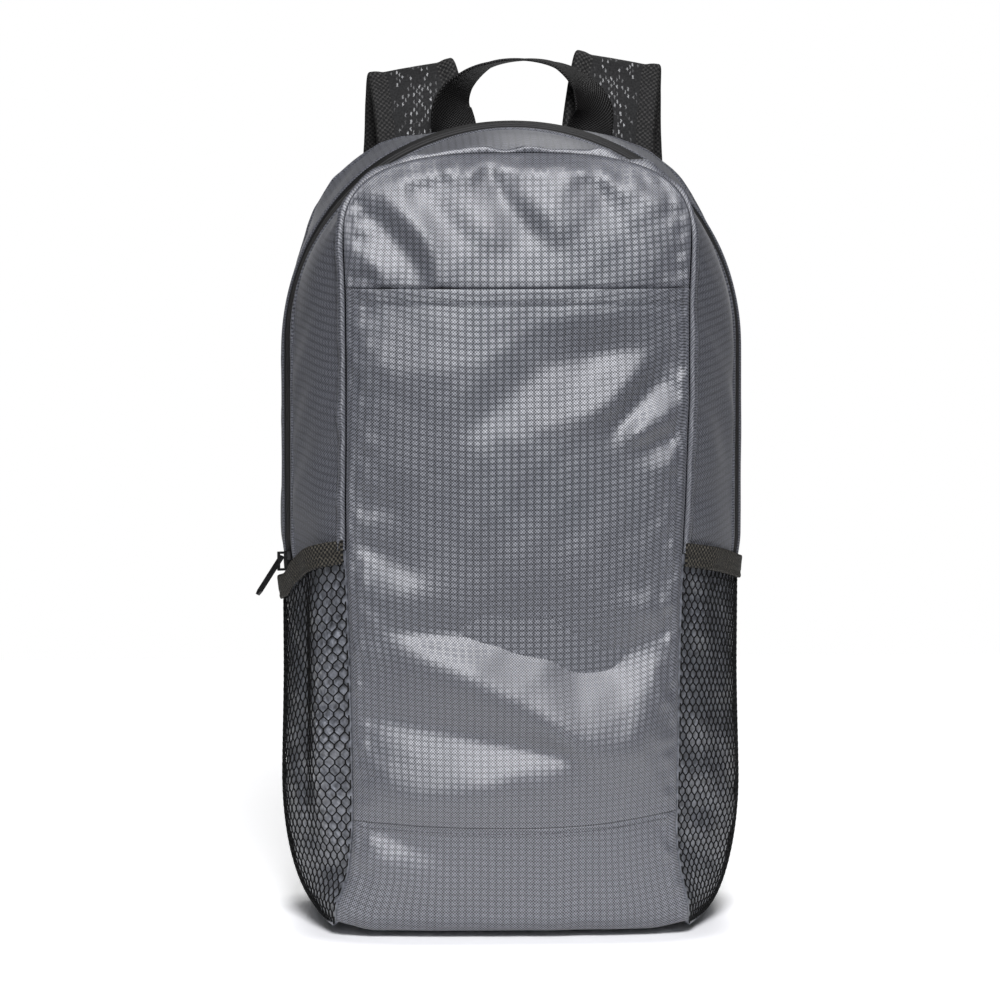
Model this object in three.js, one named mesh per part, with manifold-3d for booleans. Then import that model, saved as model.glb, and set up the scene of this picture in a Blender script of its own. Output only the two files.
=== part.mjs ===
// A lightweight zip-top daypack standing on its base, in millimetres, +Z up.
// The front faces -Y, the shoulder straps hang behind on +Y, and the origin is on
// the floor under the middle of the zip.
import * as THREE from 'three';
import { mergeVertices } from 'three/addons/utils/BufferGeometryUtils.js';
import Module from 'manifold-3d';

const wasm = await Module();
wasm.setup();

// Cloth, webbing and clearances
const CLOTH = 1.5;
const GAP = 0.4;
const MITRE = { front: 1.9, back: 2.5 };
const WEBBING = 1.4;

const lerp = THREE.MathUtils.lerp;
const clamp = THREE.MathUtils.clamp;
const smooth = THREE.MathUtils.smoothstep;

// Seams that run round the bag like hoops, from front to back. Each hoop goes along the
// base, round a lower corner, up the side and over the arch.
const HOOPS = {
  front: {
    depth: -60, footRound: 12, lean: 8, baseHalf: 97, halfWidth: 94, waist: 4,
    cornerTop: 60, cornerPower: 1, spring: 375, top: 426, archPower: 3.1, sag: 0,
  },
  zip: {
    depth: 0, footRound: 0, lean: 0, baseHalf: 104, halfWidth: 124.5, waist: 0,
    cornerTop: 80, cornerPower: 2, spring: 321, top: 441, archPower: 2, sag: 0,
  },
  back: {
    depth: 64, footRound: 8, lean: -6, baseHalf: 102, halfWidth: 121, waist: 0,
    cornerTop: 80, cornerPower: 2, spring: 303, top: 440, archPower: 3, sag: 10,
  },
};
const SAG_REACH = 45;
const HALF_DEPTH = (HOOPS.back.depth - HOOPS.front.depth) / 2;
const BACK_FULL = 4;

// Front face
const FRONT_BULGE = 16;
const POCKET_MOUTH = 353;
const POCKET_STEP = CLOTH + 0.7;
const POCKET_SINK = 4.5;
const HEM_HEIGHT = 7;
const HEM_RISE = 0.8;
const BASE_SEAM = { left: 64.5, middle: 61, right: 69 };

// Folds of the front face, as ridges from one end to the other. Each falls away over
// its own widths above and below the ridge line; a negative rise is a valley.
const FOLDS = [
  { name: 'long fold from the top left corner', x0: -92, z0: 409, x1: -41, z1: 355, rise: 7, above: 22, below: 8 },
  { name: 'short fold under it', x0: -93, z0: 379, x1: -68, z1: 353, rise: 4, above: 10, below: 6 },
  { name: 'soft fold of the top', x0: -55, z0: 419, x1: -15, z1: 372, rise: 2.5, above: 16, below: 10 },
  { name: 'middle fold of the top', x0: -10, z0: 424, x1: 26, z1: 375, rise: 5, above: 14, below: 7 },
  { name: 'right fold of the top', x0: 40, z0: 419, x1: 67, z1: 380, rise: 2, above: 12, below: 8 },
  { name: 'sag under the pocket mouth', x0: 100, z0: 348, x1: 12, z1: 336, rise: 4, above: 20, below: 14 },
  { name: 'upper right gather', x0: 76, z0: 323, x1: 47, z1: 285, rise: 6, above: 16, below: 8 },
  { name: 'middle right gather', x0: 96, z0: 301, x1: 57, z1: 276, rise: 5, above: 10, below: 7 },
  { name: 'lower right gather', x0: 96, z0: 274, x1: 71, z1: 260, rise: 4, above: 8, below: 7 },
  { name: 'left gather', x0: -94, z0: 207, x1: -52, z1: 188, rise: 4.5, above: 12, below: 10 },
  { name: 'right crease at the band', x0: 61, z0: 185, x1: 94, z1: 182, rise: 3, above: 7, below: 7 },
  { name: 'hollow over the great fold', x0: 12, z0: 148, x1: 95, z1: 180, rise: -4, above: 11, below: 11 },
  { name: 'great fold', x0: -68, z0: 161, x1: 30, z1: 108, rise: 9, above: 30, below: 10 },
  { name: 'right end of the great fold', x0: 30, z0: 107, x1: 75, z1: 115, rise: 5, above: 30, below: 14 },
  { name: 'second fold', x0: -84, z0: 81, x1: 21, z1: 91, rise: 6, above: 18, below: 10 },
  { name: 'corner fold of the strip', x0: -92, z0: 55, x1: -47, z1: 40, rise: 4, above: 10, below: 8 },
];

// Side pockets: heights of the band's top edge at the front, zip and back seams
const BAND_TOP = { left: [217.5, 193.5, 188], right: [215, 203, 197] };
const BAND_HEIGHT = 13;
const BAND_STEP = 1.1;
const BAND_THICK = 1.8;
const NET_THICK = 1;
const NET_FOOT = 5;
const POCKET_PULL = { depth: 2.2, foot: 60, full: 150, band: 192, end: 214 };
const POCKET_SLACK = 1.5;
const POCKET_CORNER = { left: 7, right: 3, crest: 22, end: 36 };
const SIDE_SPLIT = 6;
const FOOT_INSET = 0.012;
const FOOT_MITRE = 0.04;

// Zip round the arch
const ZIP_HALF = 5.5;
const ZIP_SINK = 0.4;
const ZIP_TILT = 2.4;
const ZIP_TILT_REACH = 34;
const SLIDER_HEIGHT = 200;

// Shoulder straps: centre line, width and roll, for the right-hand strap, top to bottom
const STRAP_SHIFT = 5;
const STRAP_LIFT = { left: -2.5, right: 2 };
const PAD_HALF = 2;
const BINDING = 1.1;
const BINDING_LAP = 11;
const BINDING_GAP = 0.7;
const STRAP = [
  { place: 'root', x: 52, y: 67, z: 407, width: 53, roll: 0 },
  { place: 'seam', x: 52, y: 68, z: 431, width: 53, roll: 4 },
  { place: 'rise', x: 55, y: 73, z: 456, width: 52, roll: 8 },
  { place: 'apex', x: 58.5, y: 86, z: 472, width: 50, roll: 10 },
  { place: 'over', x: 59, y: 100, z: 459, width: 51, roll: 7 },
  { place: 'shoulder', x: 58.5, y: 108, z: 428, width: 54, roll: 3 },
  { place: 'upper', x: 62, y: 112, z: 373, width: 56, roll: 0 },
  { place: 'middle', x: 68, y: 113, z: 313, width: 56, roll: 0 },
  { place: 'lower', x: 75, y: 110, z: 253, width: 53, roll: 0 },
  { place: 'taper', x: 81, y: 104, z: 205, width: 43, roll: 0 },
  { place: 'end', x: 84, y: 99, z: 173, width: 27, roll: 0 },
];
const STRAP_STEPS = [1, 2, 5, 5, 2, 2, 1, 1, 1, 2];

// Lower strap ends
const TAB_WIDTH = 20;
const TAB_LAP = 26;
const LOCK = { half: 14, slotHalf: 10.8, bar: 3, slot: 4.2, thick: 3, round: 1.5, drop: 9 };
const TAIL = [{ along: 8, out: 0 }, { along: 20, out: 0.8 }, { along: 42, out: 2.5 }];
const ANCHOR = [
  { x: 100, y: 67.2, z: 34 },
  { x: 99.5, y: 68.6, z: 48 },
  { x: 95, y: 79, z: 95 },
];

// Grab handle: left half of the centre line, with the turn of the webbing from lying
// flat on the back panel (0) to lying level at the apex (1)
const HANDLE_SHIFT = 8;
const HANDLE_WIDTH = 26;
const HANDLE = [
  { x: -38, y: 61.9, z: 414, turn: 0 },
  { x: -38, y: 61.2, z: 435, turn: 0 },
  { x: -39.5, y: 56.8, z: 451, turn: 0.38 },
  { x: -32.5, y: 57, z: 464, turn: 0.7 },
  { x: -18.5, y: 56.4, z: 473.5, turn: 0.93 },
  { x: 0, y: 56, z: 476.5, turn: 1 },
];

// Zip slider and pull
const SLIDER = {
  foot: 0.9, width: 8, length: 11, thick: 2, nose: 1, tail: 1.5, bridge: 2, bar: 1.2, reach: 10.5, rise: 3.9,
};
const WELD = 0.3;
const PULL = {
  length: 22, half: 3.4, thick: 1.2, eyeLong: 2.5, eyeHalf: 1.5, rim: 1, lean: 34,
  shoulder: 0.8, shoulderDrop: 1.5, tipCut: 1.4, tipLong: 2.4, windowLow: 2.5, windowHigh: 13,
};

// Hoops

// A quarter of a rounded corner that leaves its side upright and ends level.
function corner(side, end, power) {
  const points = [];
  const count = 24;
  for (let i = 0; i <= count; i++) {
    const angle = (i / count) * Math.PI / 2;
    points.push(new THREE.Vector2(
      lerp(end.x, side.x, Math.cos(angle) ** (2 / power)),
      lerp(side.y, end.y, Math.sin(angle) ** (2 / power)),
    ));
  }
  return new THREE.SplineCurve(points);
}

for (const hoop of Object.values(HOOPS)) {
  const { baseHalf, halfWidth, cornerTop, cornerPower, spring, top, archPower } = hoop;
  hoop.corner = corner({ x: halfWidth, y: cornerTop }, { x: baseHalf, y: 0 }, cornerPower);
  hoop.arch = corner({ x: halfWidth, y: spring }, { x: 0, y: top }, archPower);
}

// Depth of a hoop at a height: it curls under at the floor and leans in over the arch.
function hoopDepth(hoop, z) {
  const inward = -Math.sign(hoop.depth);
  const curl = Math.max(0, hoop.footRound - z);
  const under = hoop.footRound - Math.sqrt(Math.max(0, hoop.footRound ** 2 - curl ** 2));
  const lean = hoop.lean * clamp((z - hoop.spring) / (hoop.top - hoop.spring), 0, 1) ** 2;
  return hoop.depth + inward * under + lean;
}

// Half width of the upright side of a hoop.
function sideHalf(hoop, z) {
  const way = clamp((z - hoop.cornerTop) / (hoop.spring - hoop.cornerTop), 0, 1);
  return hoop.halfWidth - hoop.waist * Math.sin(Math.PI * way);
}

// How far the top of a hoop sags between the shoulder straps.
function sagAt(hoop, x) {
  return hoop.sag * Math.exp(-((x / SAG_REACH) ** 2));
}

// Point on the right half of a hoop. Stations: 0 base centre, 1 base edge, 2 top of the
// lower corner, 3 springing of the arch, 4 top centre.
function hoopPoint(hoop, station) {
  let x;
  let z;
  if (station <= 1) {
    [x, z] = [hoop.baseHalf * station, 0];
  } else if (station < 2) {
    [x, z] = hoop.corner.getPointAt(2 - station).toArray();
  } else if (station <= 3) {
    z = lerp(hoop.cornerTop, hoop.spring, station - 2);
    x = sideHalf(hoop, z);
  } else {
    [x, z] = hoop.arch.getPointAt(Math.min(station - 3, 1)).toArray();
    z -= sagAt(hoop, x);
  }
  return new THREE.Vector3(x, hoopDepth(hoop, z), Math.max(z, 0));
}

// Weights of the front, zip and back hoops across the gusset, t from -1 to 1.
function across(t) {
  return [t * (t - 1) / 2, 1 - t * t, t * (t + 1) / 2];
}

// Fullness across the gusset: none at the seams, one in the middle.
function fullness(t) {
  return Math.max(0, Math.cos(t * Math.PI / 2)) ** 0.8;
}

// Point of the gusset: a curve through the three hoops, with the zip tilted to the front
// and the sides drawn in where the pocket bands hold them.
function gussetPoint(station, t) {
  const weights = across(t);
  const point = new THREE.Vector3();
  Object.values(HOOPS).forEach((hoop, i) => point.addScaledVector(hoopPoint(hoop, station), weights[i]));
  const { halfWidth, spring, top } = HOOPS.zip;
  const rise = clamp((point.z - spring) / (top - spring), 0, 1);
  const out = new THREE.Vector3(point.x / halfWidth, 0, rise).normalize();
  const reach = point.y / ZIP_TILT_REACH;
  const tilt = ZIP_TILT * (0.25 + 0.75 * rise) * clamp(point.y / ZIP_HALF, -1, 1) * Math.exp(-reach * reach);
  if (station > 2) point.addScaledVector(out, tilt * smooth(station, 2, 3));
  const { depth, foot, full, band, end } = POCKET_PULL;
  point.x -= depth * fullness(t) * smooth(point.z, foot, full) * (1 - smooth(point.z, band, end));
  return point;
}

// Station of the gusset where it reaches a height.
function stationAt(z, t) {
  let low = 1;
  let high = 4;
  for (let i = 0; i < 24; i++) {
    const middle = (low + high) / 2;
    if (gussetPoint(middle, t).z < z) low = middle;
    else high = middle;
  }
  return (low + high) / 2;
}

// Height of the pocket band's top edge.
function bandTop(side, t) {
  const weights = across(t);
  return BAND_TOP[side].reduce((sum, height, i) => sum + height * weights[i], 0);
}

// Solids

// A closed solid from its corners and triangles, turned to face outwards.
function solid(points, triangles) {
  let volume = 0;
  for (const [a, b, c] of triangles) {
    volume += points[a].dot(new THREE.Vector3().crossVectors(points[b], points[c]));
  }
  const faces = volume < 0 ? triangles.map(([a, b, c]) => [a, c, b]) : triangles;
  const geometry = new THREE.BufferGeometry();
  geometry.setFromPoints(points);
  geometry.setIndex(faces.flat());
  geometry.computeVertexNormals();
  return geometry;
}

// A cloth wall: the outer face is point(c, r) for the given columns and rows, with
// columns x rows pointing outwards; the inner face lies one thickness inside.
function wall(point, columns, rows, thickness = CLOTH) {
  const outer = columns.map((c) => rows.map((r) => point(c, r)));
  const last = [columns.length - 1, rows.length - 1];
  const points = [];
  const slot = (i, j, inner) => 2 * (i * rows.length + j) + inner;
  const normal = new THREE.Vector3();
  outer.forEach((line, i) => line.forEach((place, j) => {
    const along = outer[Math.min(i + 1, last[0])][j].clone().sub(outer[Math.max(i - 1, 0)][j]);
    const up = outer[i][Math.min(j + 1, last[1])].clone().sub(outer[i][Math.max(j - 1, 0)]);
    normal.crossVectors(along, up).normalize();
    points.push(place, place.clone().addScaledVector(normal, -thickness));
  }));
  const triangles = [];
  const quad = (a, b, c, d) => triangles.push([a, b, c], [a, c, d]);
  for (let i = 0; i < last[0]; i++) {
    for (let j = 0; j < last[1]; j++) {
      quad(slot(i, j, 0), slot(i + 1, j, 0), slot(i + 1, j + 1, 0), slot(i, j + 1, 0));
      quad(slot(i, j, 1), slot(i, j + 1, 1), slot(i + 1, j + 1, 1), slot(i + 1, j, 1));
    }
    quad(slot(i, 0, 0), slot(i, 0, 1), slot(i + 1, 0, 1), slot(i + 1, 0, 0));
    quad(slot(i, last[1], 0), slot(i + 1, last[1], 0), slot(i + 1, last[1], 1), slot(i, last[1], 1));
  }
  for (let j = 0; j < last[1]; j++) {
    quad(slot(0, j, 0), slot(0, j + 1, 0), slot(0, j + 1, 1), slot(0, j, 1));
    quad(slot(last[0], j, 0), slot(last[0], j, 1), slot(last[0], j + 1, 1), slot(last[0], j + 1, 0));
  }
  return solid(points, triangles);
}

// Even steps between two ends.
function steps(from, to, count) {
  return Array.from({ length: count + 1 }, (_, i) => lerp(from, to, i / count));
}

// A strip swept along frames, each with its own cross-section of (across, normal) pairs.
function sweep(frames, section) {
  const points = [];
  const triangles = [];
  const size = section(frames[0]).length;
  for (const frame of frames) {
    for (const [a, n] of section(frame)) {
      points.push(frame.at.clone().addScaledVector(frame.across, a).addScaledVector(frame.normal, n));
    }
  }
  for (let i = 0; i < frames.length - 1; i++) {
    for (let j = 0; j < size; j++) {
      const next = (j + 1) % size;
      const [a, b] = [i * size + j, i * size + next];
      const [c, d] = [b + size, a + size];
      if (points[a].distanceTo(points[c]) < points[b].distanceTo(points[d])) triangles.push([a, b, c], [a, c, d]);
      else triangles.push([a, b, d], [b, c, d]);
    }
  }
  const contour = section(frames[0]).map(([a, n]) => new THREE.Vector2(a, n));
  const end = (frames.length - 1) * size;
  for (const [a, b, c] of THREE.ShapeUtils.triangulateShape(contour, [])) {
    triangles.push([a, c, b], [end + a, end + b, end + c]);
  }
  return solid(points, triangles);
}

// Frames along a curve whose across direction stays as near to +X as it can.
function framesAlong(curve, places, roll = () => 0) {
  return places.map((place) => {
    const tangent = curve.getTangent(place);
    const side = new THREE.Vector3(1, 0, 0).projectOnPlane(tangent).normalize();
    side.applyAxisAngle(tangent, THREE.MathUtils.degToRad(roll(place)));
    return {
      place,
      at: curve.getPoint(place),
      tangent,
      across: side,
      normal: new THREE.Vector3().crossVectors(tangent, side),
    };
  });
}

function curveThrough(rows) {
  return new THREE.CatmullRomCurve3(rows.map(({ x, y, z }) => new THREE.Vector3(x, y, z)));
}

// A column of a table, read between its rows.
function readColumn(rows, column, place) {
  const at = clamp(place, 0, 1) * (rows.length - 1);
  const row = Math.min(Math.floor(at), rows.length - 2);
  return lerp(rows[row][column], rows[row + 1][column], at - row);
}

// Rectangle cross-section of webbing.
function ribbon(width, thick) {
  return [[-width / 2, -thick / 2], [width / 2, -thick / 2], [width / 2, thick / 2], [-width / 2, thick / 2]];
}

// Join extruded pieces into one body.
function joined(geometries) {
  const bodies = geometries.map((geometry) => {
    const bare = new THREE.BufferGeometry();
    bare.setAttribute('position', geometry.getAttribute('position'));
    if (geometry.index) bare.setIndex(geometry.index);
    const merged = mergeVertices(bare, 1e-4);
    return new wasm.Manifold(new wasm.Mesh({
      numProp: 3,
      vertProperties: Float32Array.from(merged.getAttribute('position').array),
      triVerts: Uint32Array.from(merged.index.array),
    }));
  });
  const mesh = wasm.Manifold.union(bodies).getMesh();
  const geometry = new THREE.BufferGeometry();
  geometry.setAttribute('position', new THREE.BufferAttribute(Float32Array.from(mesh.vertProperties), 3));
  geometry.setIndex(new THREE.BufferAttribute(Uint32Array.from(mesh.triVerts), 1));
  geometry.computeVertexNormals();
  return geometry;
}

// Materials and the finished group

const COLOURS = {
  cloth: [0x6f7076, 0.5],
  lining: [0x5a5b61, 0.6],
  webbing: [0x1c1b1a, 0.8],
  net: [0x17171a, 0.7],
  padding: [0x232325, 0.9],
  hardware: [0x131313, 0.4],
};

const pack = new THREE.Group();
pack.name = 'backpack';

function add(name, geometry, colour, parent = pack, mirrored = false) {
  const [color, roughness] = COLOURS[colour];
  const mesh = new THREE.Mesh(geometry, new THREE.MeshStandardMaterial({ color, roughness }));
  mesh.name = name;
  if (mirrored) mesh.scale.x = -1;
  parent.add(mesh);
  return mesh;
}

// Front face: the panel, the slip pocket over it and the strip that wraps under the base

// Height of the fold relief at a place on the front face.
function foldLift(x, z) {
  let lift = 0;
  for (const { x0, z0, x1, z1, rise, above, below } of FOLDS) {
    const [dx, dz] = [x1 - x0, z1 - z0];
    const length = Math.hypot(dx, dz);
    const way = ((x - x0) * dx + (z - z0) * dz) / (length * length);
    const off = ((z - z0) * dx - (x - x0) * dz) / length * Math.sign(dx || 1);
    const width = off > 0 ? above : below;
    lift += rise * Math.exp(-((off / width) ** 2)) * smooth(way, -0.2, 0.25) * smooth(1 - way, -0.2, 0.25);
  }
  return lift;
}

// Top of the front face at a share u of its half width.
function frontTop(u) {
  const { spring, top, archPower } = HOOPS.front;
  return lerp(spring, top, (1 - Math.abs(u) ** archPower) ** (1 / archPower));
}

// Seam between the front face and the base strip, lower in the middle.
function baseSeam(u) {
  return lerp(BASE_SEAM.middle, u < 0 ? BASE_SEAM.left : BASE_SEAM.right, u * u);
}

// Outer point of the front face, raised by a number of millimetres. The folds fade to
// the flat lining of the pocket, sunk behind it, as the share folded goes to nothing.
function frontPoint(u, z, raise = 0, folded = 1) {
  const { baseHalf, halfWidth, cornerTop } = HOOPS.front;
  const flare = (baseHalf - halfWidth) * clamp(1 - z / cornerTop, 0, 1);
  const x = u * (sideHalf(HOOPS.front, z) + flare);
  const way = clamp(z / frontTop(u), 0, 1);
  const pillow = (1 - u * u) ** 0.75 * Math.sin(Math.PI * lerp(0.1, 1, way)) ** 0.7;
  const free = smooth(1 - Math.abs(u), 0, 0.08) * smooth(1 - way, 0, 0.06);
  const relief = free * lerp(-POCKET_SINK, foldLift(x, z), folded);
  const y = hoopDepth(HOOPS.front, z) - FRONT_BULGE * pillow - relief - raise;
  return new THREE.Vector3(x, y, z);
}

const frontEdge = 1 - GAP / HOOPS.front.halfWidth;
const evenColumns = steps(-frontEdge, frontEdge, 19);
const cornerColumns = steps(-1, 1, 20).map((k) => frontEdge * Math.sin(k * Math.PI / 2));

// Rows of the panel are counted from its lower seam: to 1 at the pocket mouth, 2 at the top.
function panelPoint(u, row) {
  const foot = baseSeam(u) + GAP;
  const mouth = Math.min(POCKET_MOUTH, frontTop(u) - 20);
  const z = row < 1 ? lerp(foot, mouth, row) : lerp(mouth, frontTop(u) - GAP, row - 1);
  return frontPoint(u, z, 0, smooth(z, POCKET_MOUTH - 4, POCKET_MOUTH + 10));
}
add('front_panel', wall(panelPoint, cornerColumns, [...steps(0, 1, 4), ...steps(1, 2, 8).slice(1)]), 'cloth');

function pocketPoint(u, row) {
  const z = lerp(baseSeam(u) + GAP, POCKET_MOUTH, row);
  const hem = smooth(z, POCKET_MOUTH - HEM_HEIGHT - 3, POCKET_MOUTH - HEM_HEIGHT) * HEM_RISE;
  return frontPoint(u, z, POCKET_STEP + hem);
}
add('front_pocket', wall(pocketPoint, evenColumns, [...steps(0, 0.96, 23), 0.975, 1]), 'cloth');

// Place t across the gusset where it lies at depth y, between its front and back depths.
function crossingAt(y, front, back) {
  const [curve, slope] = [(front + back) / 2, (back - front) / 2];
  return (Math.sqrt(slope * slope + 4 * curve * y) - slope) / (2 * curve);
}

// The base strip runs along the floor from the back (row 0), curls up at the front (row 1)
// and climbs to the lower seam (row 2).
function basePoint(u, row) {
  const { front, back } = HOOPS;
  if (row >= 1) {
    const climb = row - 1;
    const z = climb < 0.5
      ? front.footRound * (1 - Math.cos(climb * Math.PI))
      : lerp(front.footRound, baseSeam(u) - GAP, climb * 2 - 1);
    const point = frontPoint(u, Math.max(z, 1e-6), POCKET_STEP);
    point.z = z;
    return point;
  }
  const frontEnd = frontPoint(u, 1e-6, POCKET_STEP).y;
  const backEnd = back.depth - back.footRound;
  if (row < 0.2) {
    const angle = (1 - row / 0.2) * Math.PI / 2;
    const y = backEnd + back.footRound * Math.sin(angle) - GAP * Math.sin(angle);
    return new THREE.Vector3(u * back.baseHalf, y, back.footRound * (1 - Math.cos(angle)));
  }
  const y = lerp(backEnd, frontEnd, (row - 0.2) / 0.8);
  const weights = across(clamp(crossingAt(y, hoopDepth(front, 0), backEnd), -1, 1));
  const half = Object.values(HOOPS).reduce((sum, hoop, i) => sum + hoop.baseHalf * weights[i], 0);
  return new THREE.Vector3(u * half, y, 0);
}
const baseRows = [0, 0.1, ...steps(0.2, 1, 5), ...steps(1, 1.5, 3).slice(1), ...steps(1.5, 2, 4).slice(1)];
add('base_panel', wall(basePoint, steps(-frontEdge, frontEdge, 14), baseRows), 'cloth');

// Gusset over the arch, parted by the zip

const tFront = -1 - MITRE.front / HOOPS.front.depth;
const tBack = 1 - MITRE.back / HOOPS.back.depth;
const tZip = ZIP_HALF / HALF_DEPTH;

// Point over the arch from the left end (k = -1) to the right end (k = 1). The ends are
// hidden behind the pocket bands, where the side panels begin.
function archPoint(k, t, sink = 0) {
  const side = k < 0 ? 'left' : 'right';
  const low = stationAt(bandTop(side, t) - SIDE_SPLIT + GAP, t);
  const point = gussetPoint(lerp(4, low, Math.abs(k)), t);
  if (sink) {
    const { halfWidth, spring, top } = HOOPS.zip;
    const rise = clamp((point.z - spring) / (top - spring), 0, 1);
    point.addScaledVector(new THREE.Vector3(point.x / halfWidth, 0, rise).normalize(), -sink);
  }
  if (k < 0) point.x *= -1;
  return point;
}
const archColumns = [-1, -0.97, -0.94, ...steps(-0.89, 0.89, 32), 0.94, 0.97, 1];
const zipGap = 2 * GAP / HALF_DEPTH;
add('front_gusset', wall((k, t) => archPoint(k, t), archColumns, steps(tFront, -tZip - zipGap, 4)), 'cloth');
add('back_gusset', wall((k, t) => archPoint(k, t), archColumns, steps(tZip + zipGap, tBack, 4)), 'cloth');
add('zipper_tape', wall((k, t) => archPoint(k, t, ZIP_SINK), archColumns, steps(-tZip, tZip, 2)), 'webbing');

// Back wall, plain and slightly full
function backPoint(u, row) {
  const { baseHalf, halfWidth, cornerTop, cornerPower, spring, top, archPower, footRound } = HOOPS.back;
  const x = u * halfWidth;
  const beyond = clamp((Math.abs(x) - baseHalf) / (halfWidth - baseHalf), 0, 1);
  const foot = cornerTop * (1 - (1 - beyond ** cornerPower) ** (1 / cornerPower));
  const low = Math.max(foot, footRound) + 2 * GAP;
  const arch = lerp(spring, top, (1 - Math.abs(u) ** archPower) ** (1 / archPower));
  const z = lerp(low, arch - sagAt(HOOPS.back, x) - GAP, row);
  const full = BACK_FULL * (1 - u * u) * Math.sin(Math.PI * row);
  return new THREE.Vector3(x, hoopDepth(HOOPS.back, z) + full, z);
}
const backEdge = 1 - GAP / HOOPS.back.halfWidth;
const backColumns = steps(1, -1, 12).map((k) => backEdge * Math.sin(k * Math.PI / 2));
add('back_panel', wall(backPoint, backColumns, steps(0, 1, 10)), 'lining');

// Sides: the cloth, the pocket over it and the band along the pocket mouth

// Point of the side at a height, moved out along the wall.
function sidePoint(t, z, out = 0) {
  const point = gussetPoint(stationAt(z, t), t);
  const ahead = gussetPoint(stationAt(z + 0.5, t), t).sub(point);
  const beside = gussetPoint(stationAt(z, Math.min(t + 0.01, 1)), Math.min(t + 0.01, 1));
  const behind = gussetPoint(stationAt(z, Math.max(t - 0.01, -1)), Math.max(t - 0.01, -1));
  const normal = new THREE.Vector3().crossVectors(beside.sub(behind), ahead).normalize();
  return point.addScaledVector(normal, out);
}

// How far the filled front corner of a side pocket stands out beside the front seam.
function cornerFull(side, t, z) {
  const along = 1.25 * HALF_DEPTH * (t - tFront);
  const { crest, end } = POCKET_CORNER;
  const peak = Math.min(clamp(along / crest, 0, 1), clamp((end - along) / (end - crest), 0, 1));
  const tall = smooth(z, 25, 90) * (1 - 0.6 * smooth(z, 150, 212));
  return POCKET_CORNER[side] * smooth(peak, 0, 1) * tall;
}

for (const side of ['left', 'right']) {
  const mirrored = side === 'left';
  const tColumns = steps(tFront, tBack, 10);
  const fullPoint = (t, z, out) => sidePoint(t, z, out + cornerFull(side, t, z));
  const split = (t) => bandTop(side, t) - SIDE_SPLIT;

  const panelSide = (t, row) => {
    const way = row ** 1.5;
    const z = lerp(0, split(t), way);
    const slack = POCKET_SLACK * fullness(t) * smooth(way, 0.05, 0.35);
    return row === 0 ? gussetPoint(1 + FOOT_INSET + FOOT_MITRE * Math.max(0, -t), t) : fullPoint(t, z, -slack);
  };
  add(`side_panel_${side}`, wall(panelSide, tColumns, steps(0, 1, 9)), 'cloth', pack, mirrored);

  const stand = (t) => NET_THICK + 1.8 * GAP - 0.4 * fullness(t);
  const net = (t, row) => fullPoint(t, lerp(NET_FOOT, bandTop(side, t) - BAND_HEIGHT - GAP, row ** 1.6), stand(t));
  add(`mesh_pocket_${side}`, wall(net, tColumns, steps(0, 1, 8), NET_THICK), 'net', pack, mirrored);

  const band = (t, row) => fullPoint(t, bandTop(side, t) - BAND_HEIGHT * (1 - row), stand(t) + BAND_STEP);
  add(`pocket_band_${side}`, wall(band, tColumns, [0, 1], BAND_THICK), 'webbing', pack, mirrored);
}

// Shoulder straps, with a binding round each edge

const strapCurve = curveThrough(STRAP);
const strapPlaces = STRAP_STEPS.flatMap((count, row) => steps(row, row + 1, count).slice(row ? 1 : 0))
  .map((place) => place / (STRAP.length - 1));
const strapFrames = framesAlong(strapCurve, strapPlaces, (place) => readColumn(STRAP, 'roll', place));
const strapHalf = (frame) => readColumn(STRAP, 'width', frame.place) / 2;

const bindingLap = (frame) => Math.min(BINDING_LAP, strapHalf(frame) - 2);

const padSection = (frame) => {
  const half = strapHalf(frame) - BINDING - GAP;
  const lap = strapHalf(frame) - bindingLap(frame);
  const face = [half, lap, -lap, -half];
  return [...face.map((a) => [a, PAD_HALF]), ...face.reverse().map((a) => [a, -PAD_HALF])];
};
const bindingSection = (edge) => (frame) => {
  const half = strapHalf(frame);
  const [inner, outer] = [PAD_HALF + BINDING_GAP, PAD_HALF + BINDING_GAP + BINDING];
  const lap = half - bindingLap(frame);
  const section = [
    [lap, inner], [half - BINDING, inner], [half - BINDING, -inner], [lap, -inner],
    [lap, -outer], [half, -outer], [half, outer], [lap, outer],
  ];
  return edge > 0 ? section : section.map(([a, n]) => [-a, n]).reverse();
};

// Lower ends: a tab sewn round the end of the pad holds the ladder lock, and the
// webbing from the lower back corner turns over the lock's lower bar.
const end = strapFrames.at(-1);
const endPoint = (along, out) => end.at.clone().addScaledVector(end.tangent, along).addScaledVector(end.normal, out);
const tabOut = PAD_HALF + BINDING_GAP + BINDING + GAP + WEBBING / 2;
const barOut = LOCK.thick / Math.SQRT2 + GAP / 2 + WEBBING / 2;
const upperBar = LOCK.drop;
const lowerBar = upperBar + 2 * LOCK.bar + 2 * LOCK.slot;

// A turn of webbing round a bar, from one face to the other, towards the given way.
function turn(centre, way) {
  return steps(-90, 90, 6).map((degrees) => {
    const angle = THREE.MathUtils.degToRad(degrees);
    return endPoint(centre + way * barOut * Math.cos(angle), -barOut * Math.sin(angle));
  });
}

// Frames along a chain of points lying in the plane of the strap's end.
function chainFrames(points) {
  return points.map((at, i) => {
    const tangent = points[Math.min(i + 1, points.length - 1)].clone().sub(points[Math.max(i - 1, 0)]).normalize();
    const side = end.across.clone().projectOnPlane(tangent).normalize();
    return { at, tangent, across: side, normal: new THREE.Vector3().crossVectors(tangent, side) };
  });
}

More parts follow.
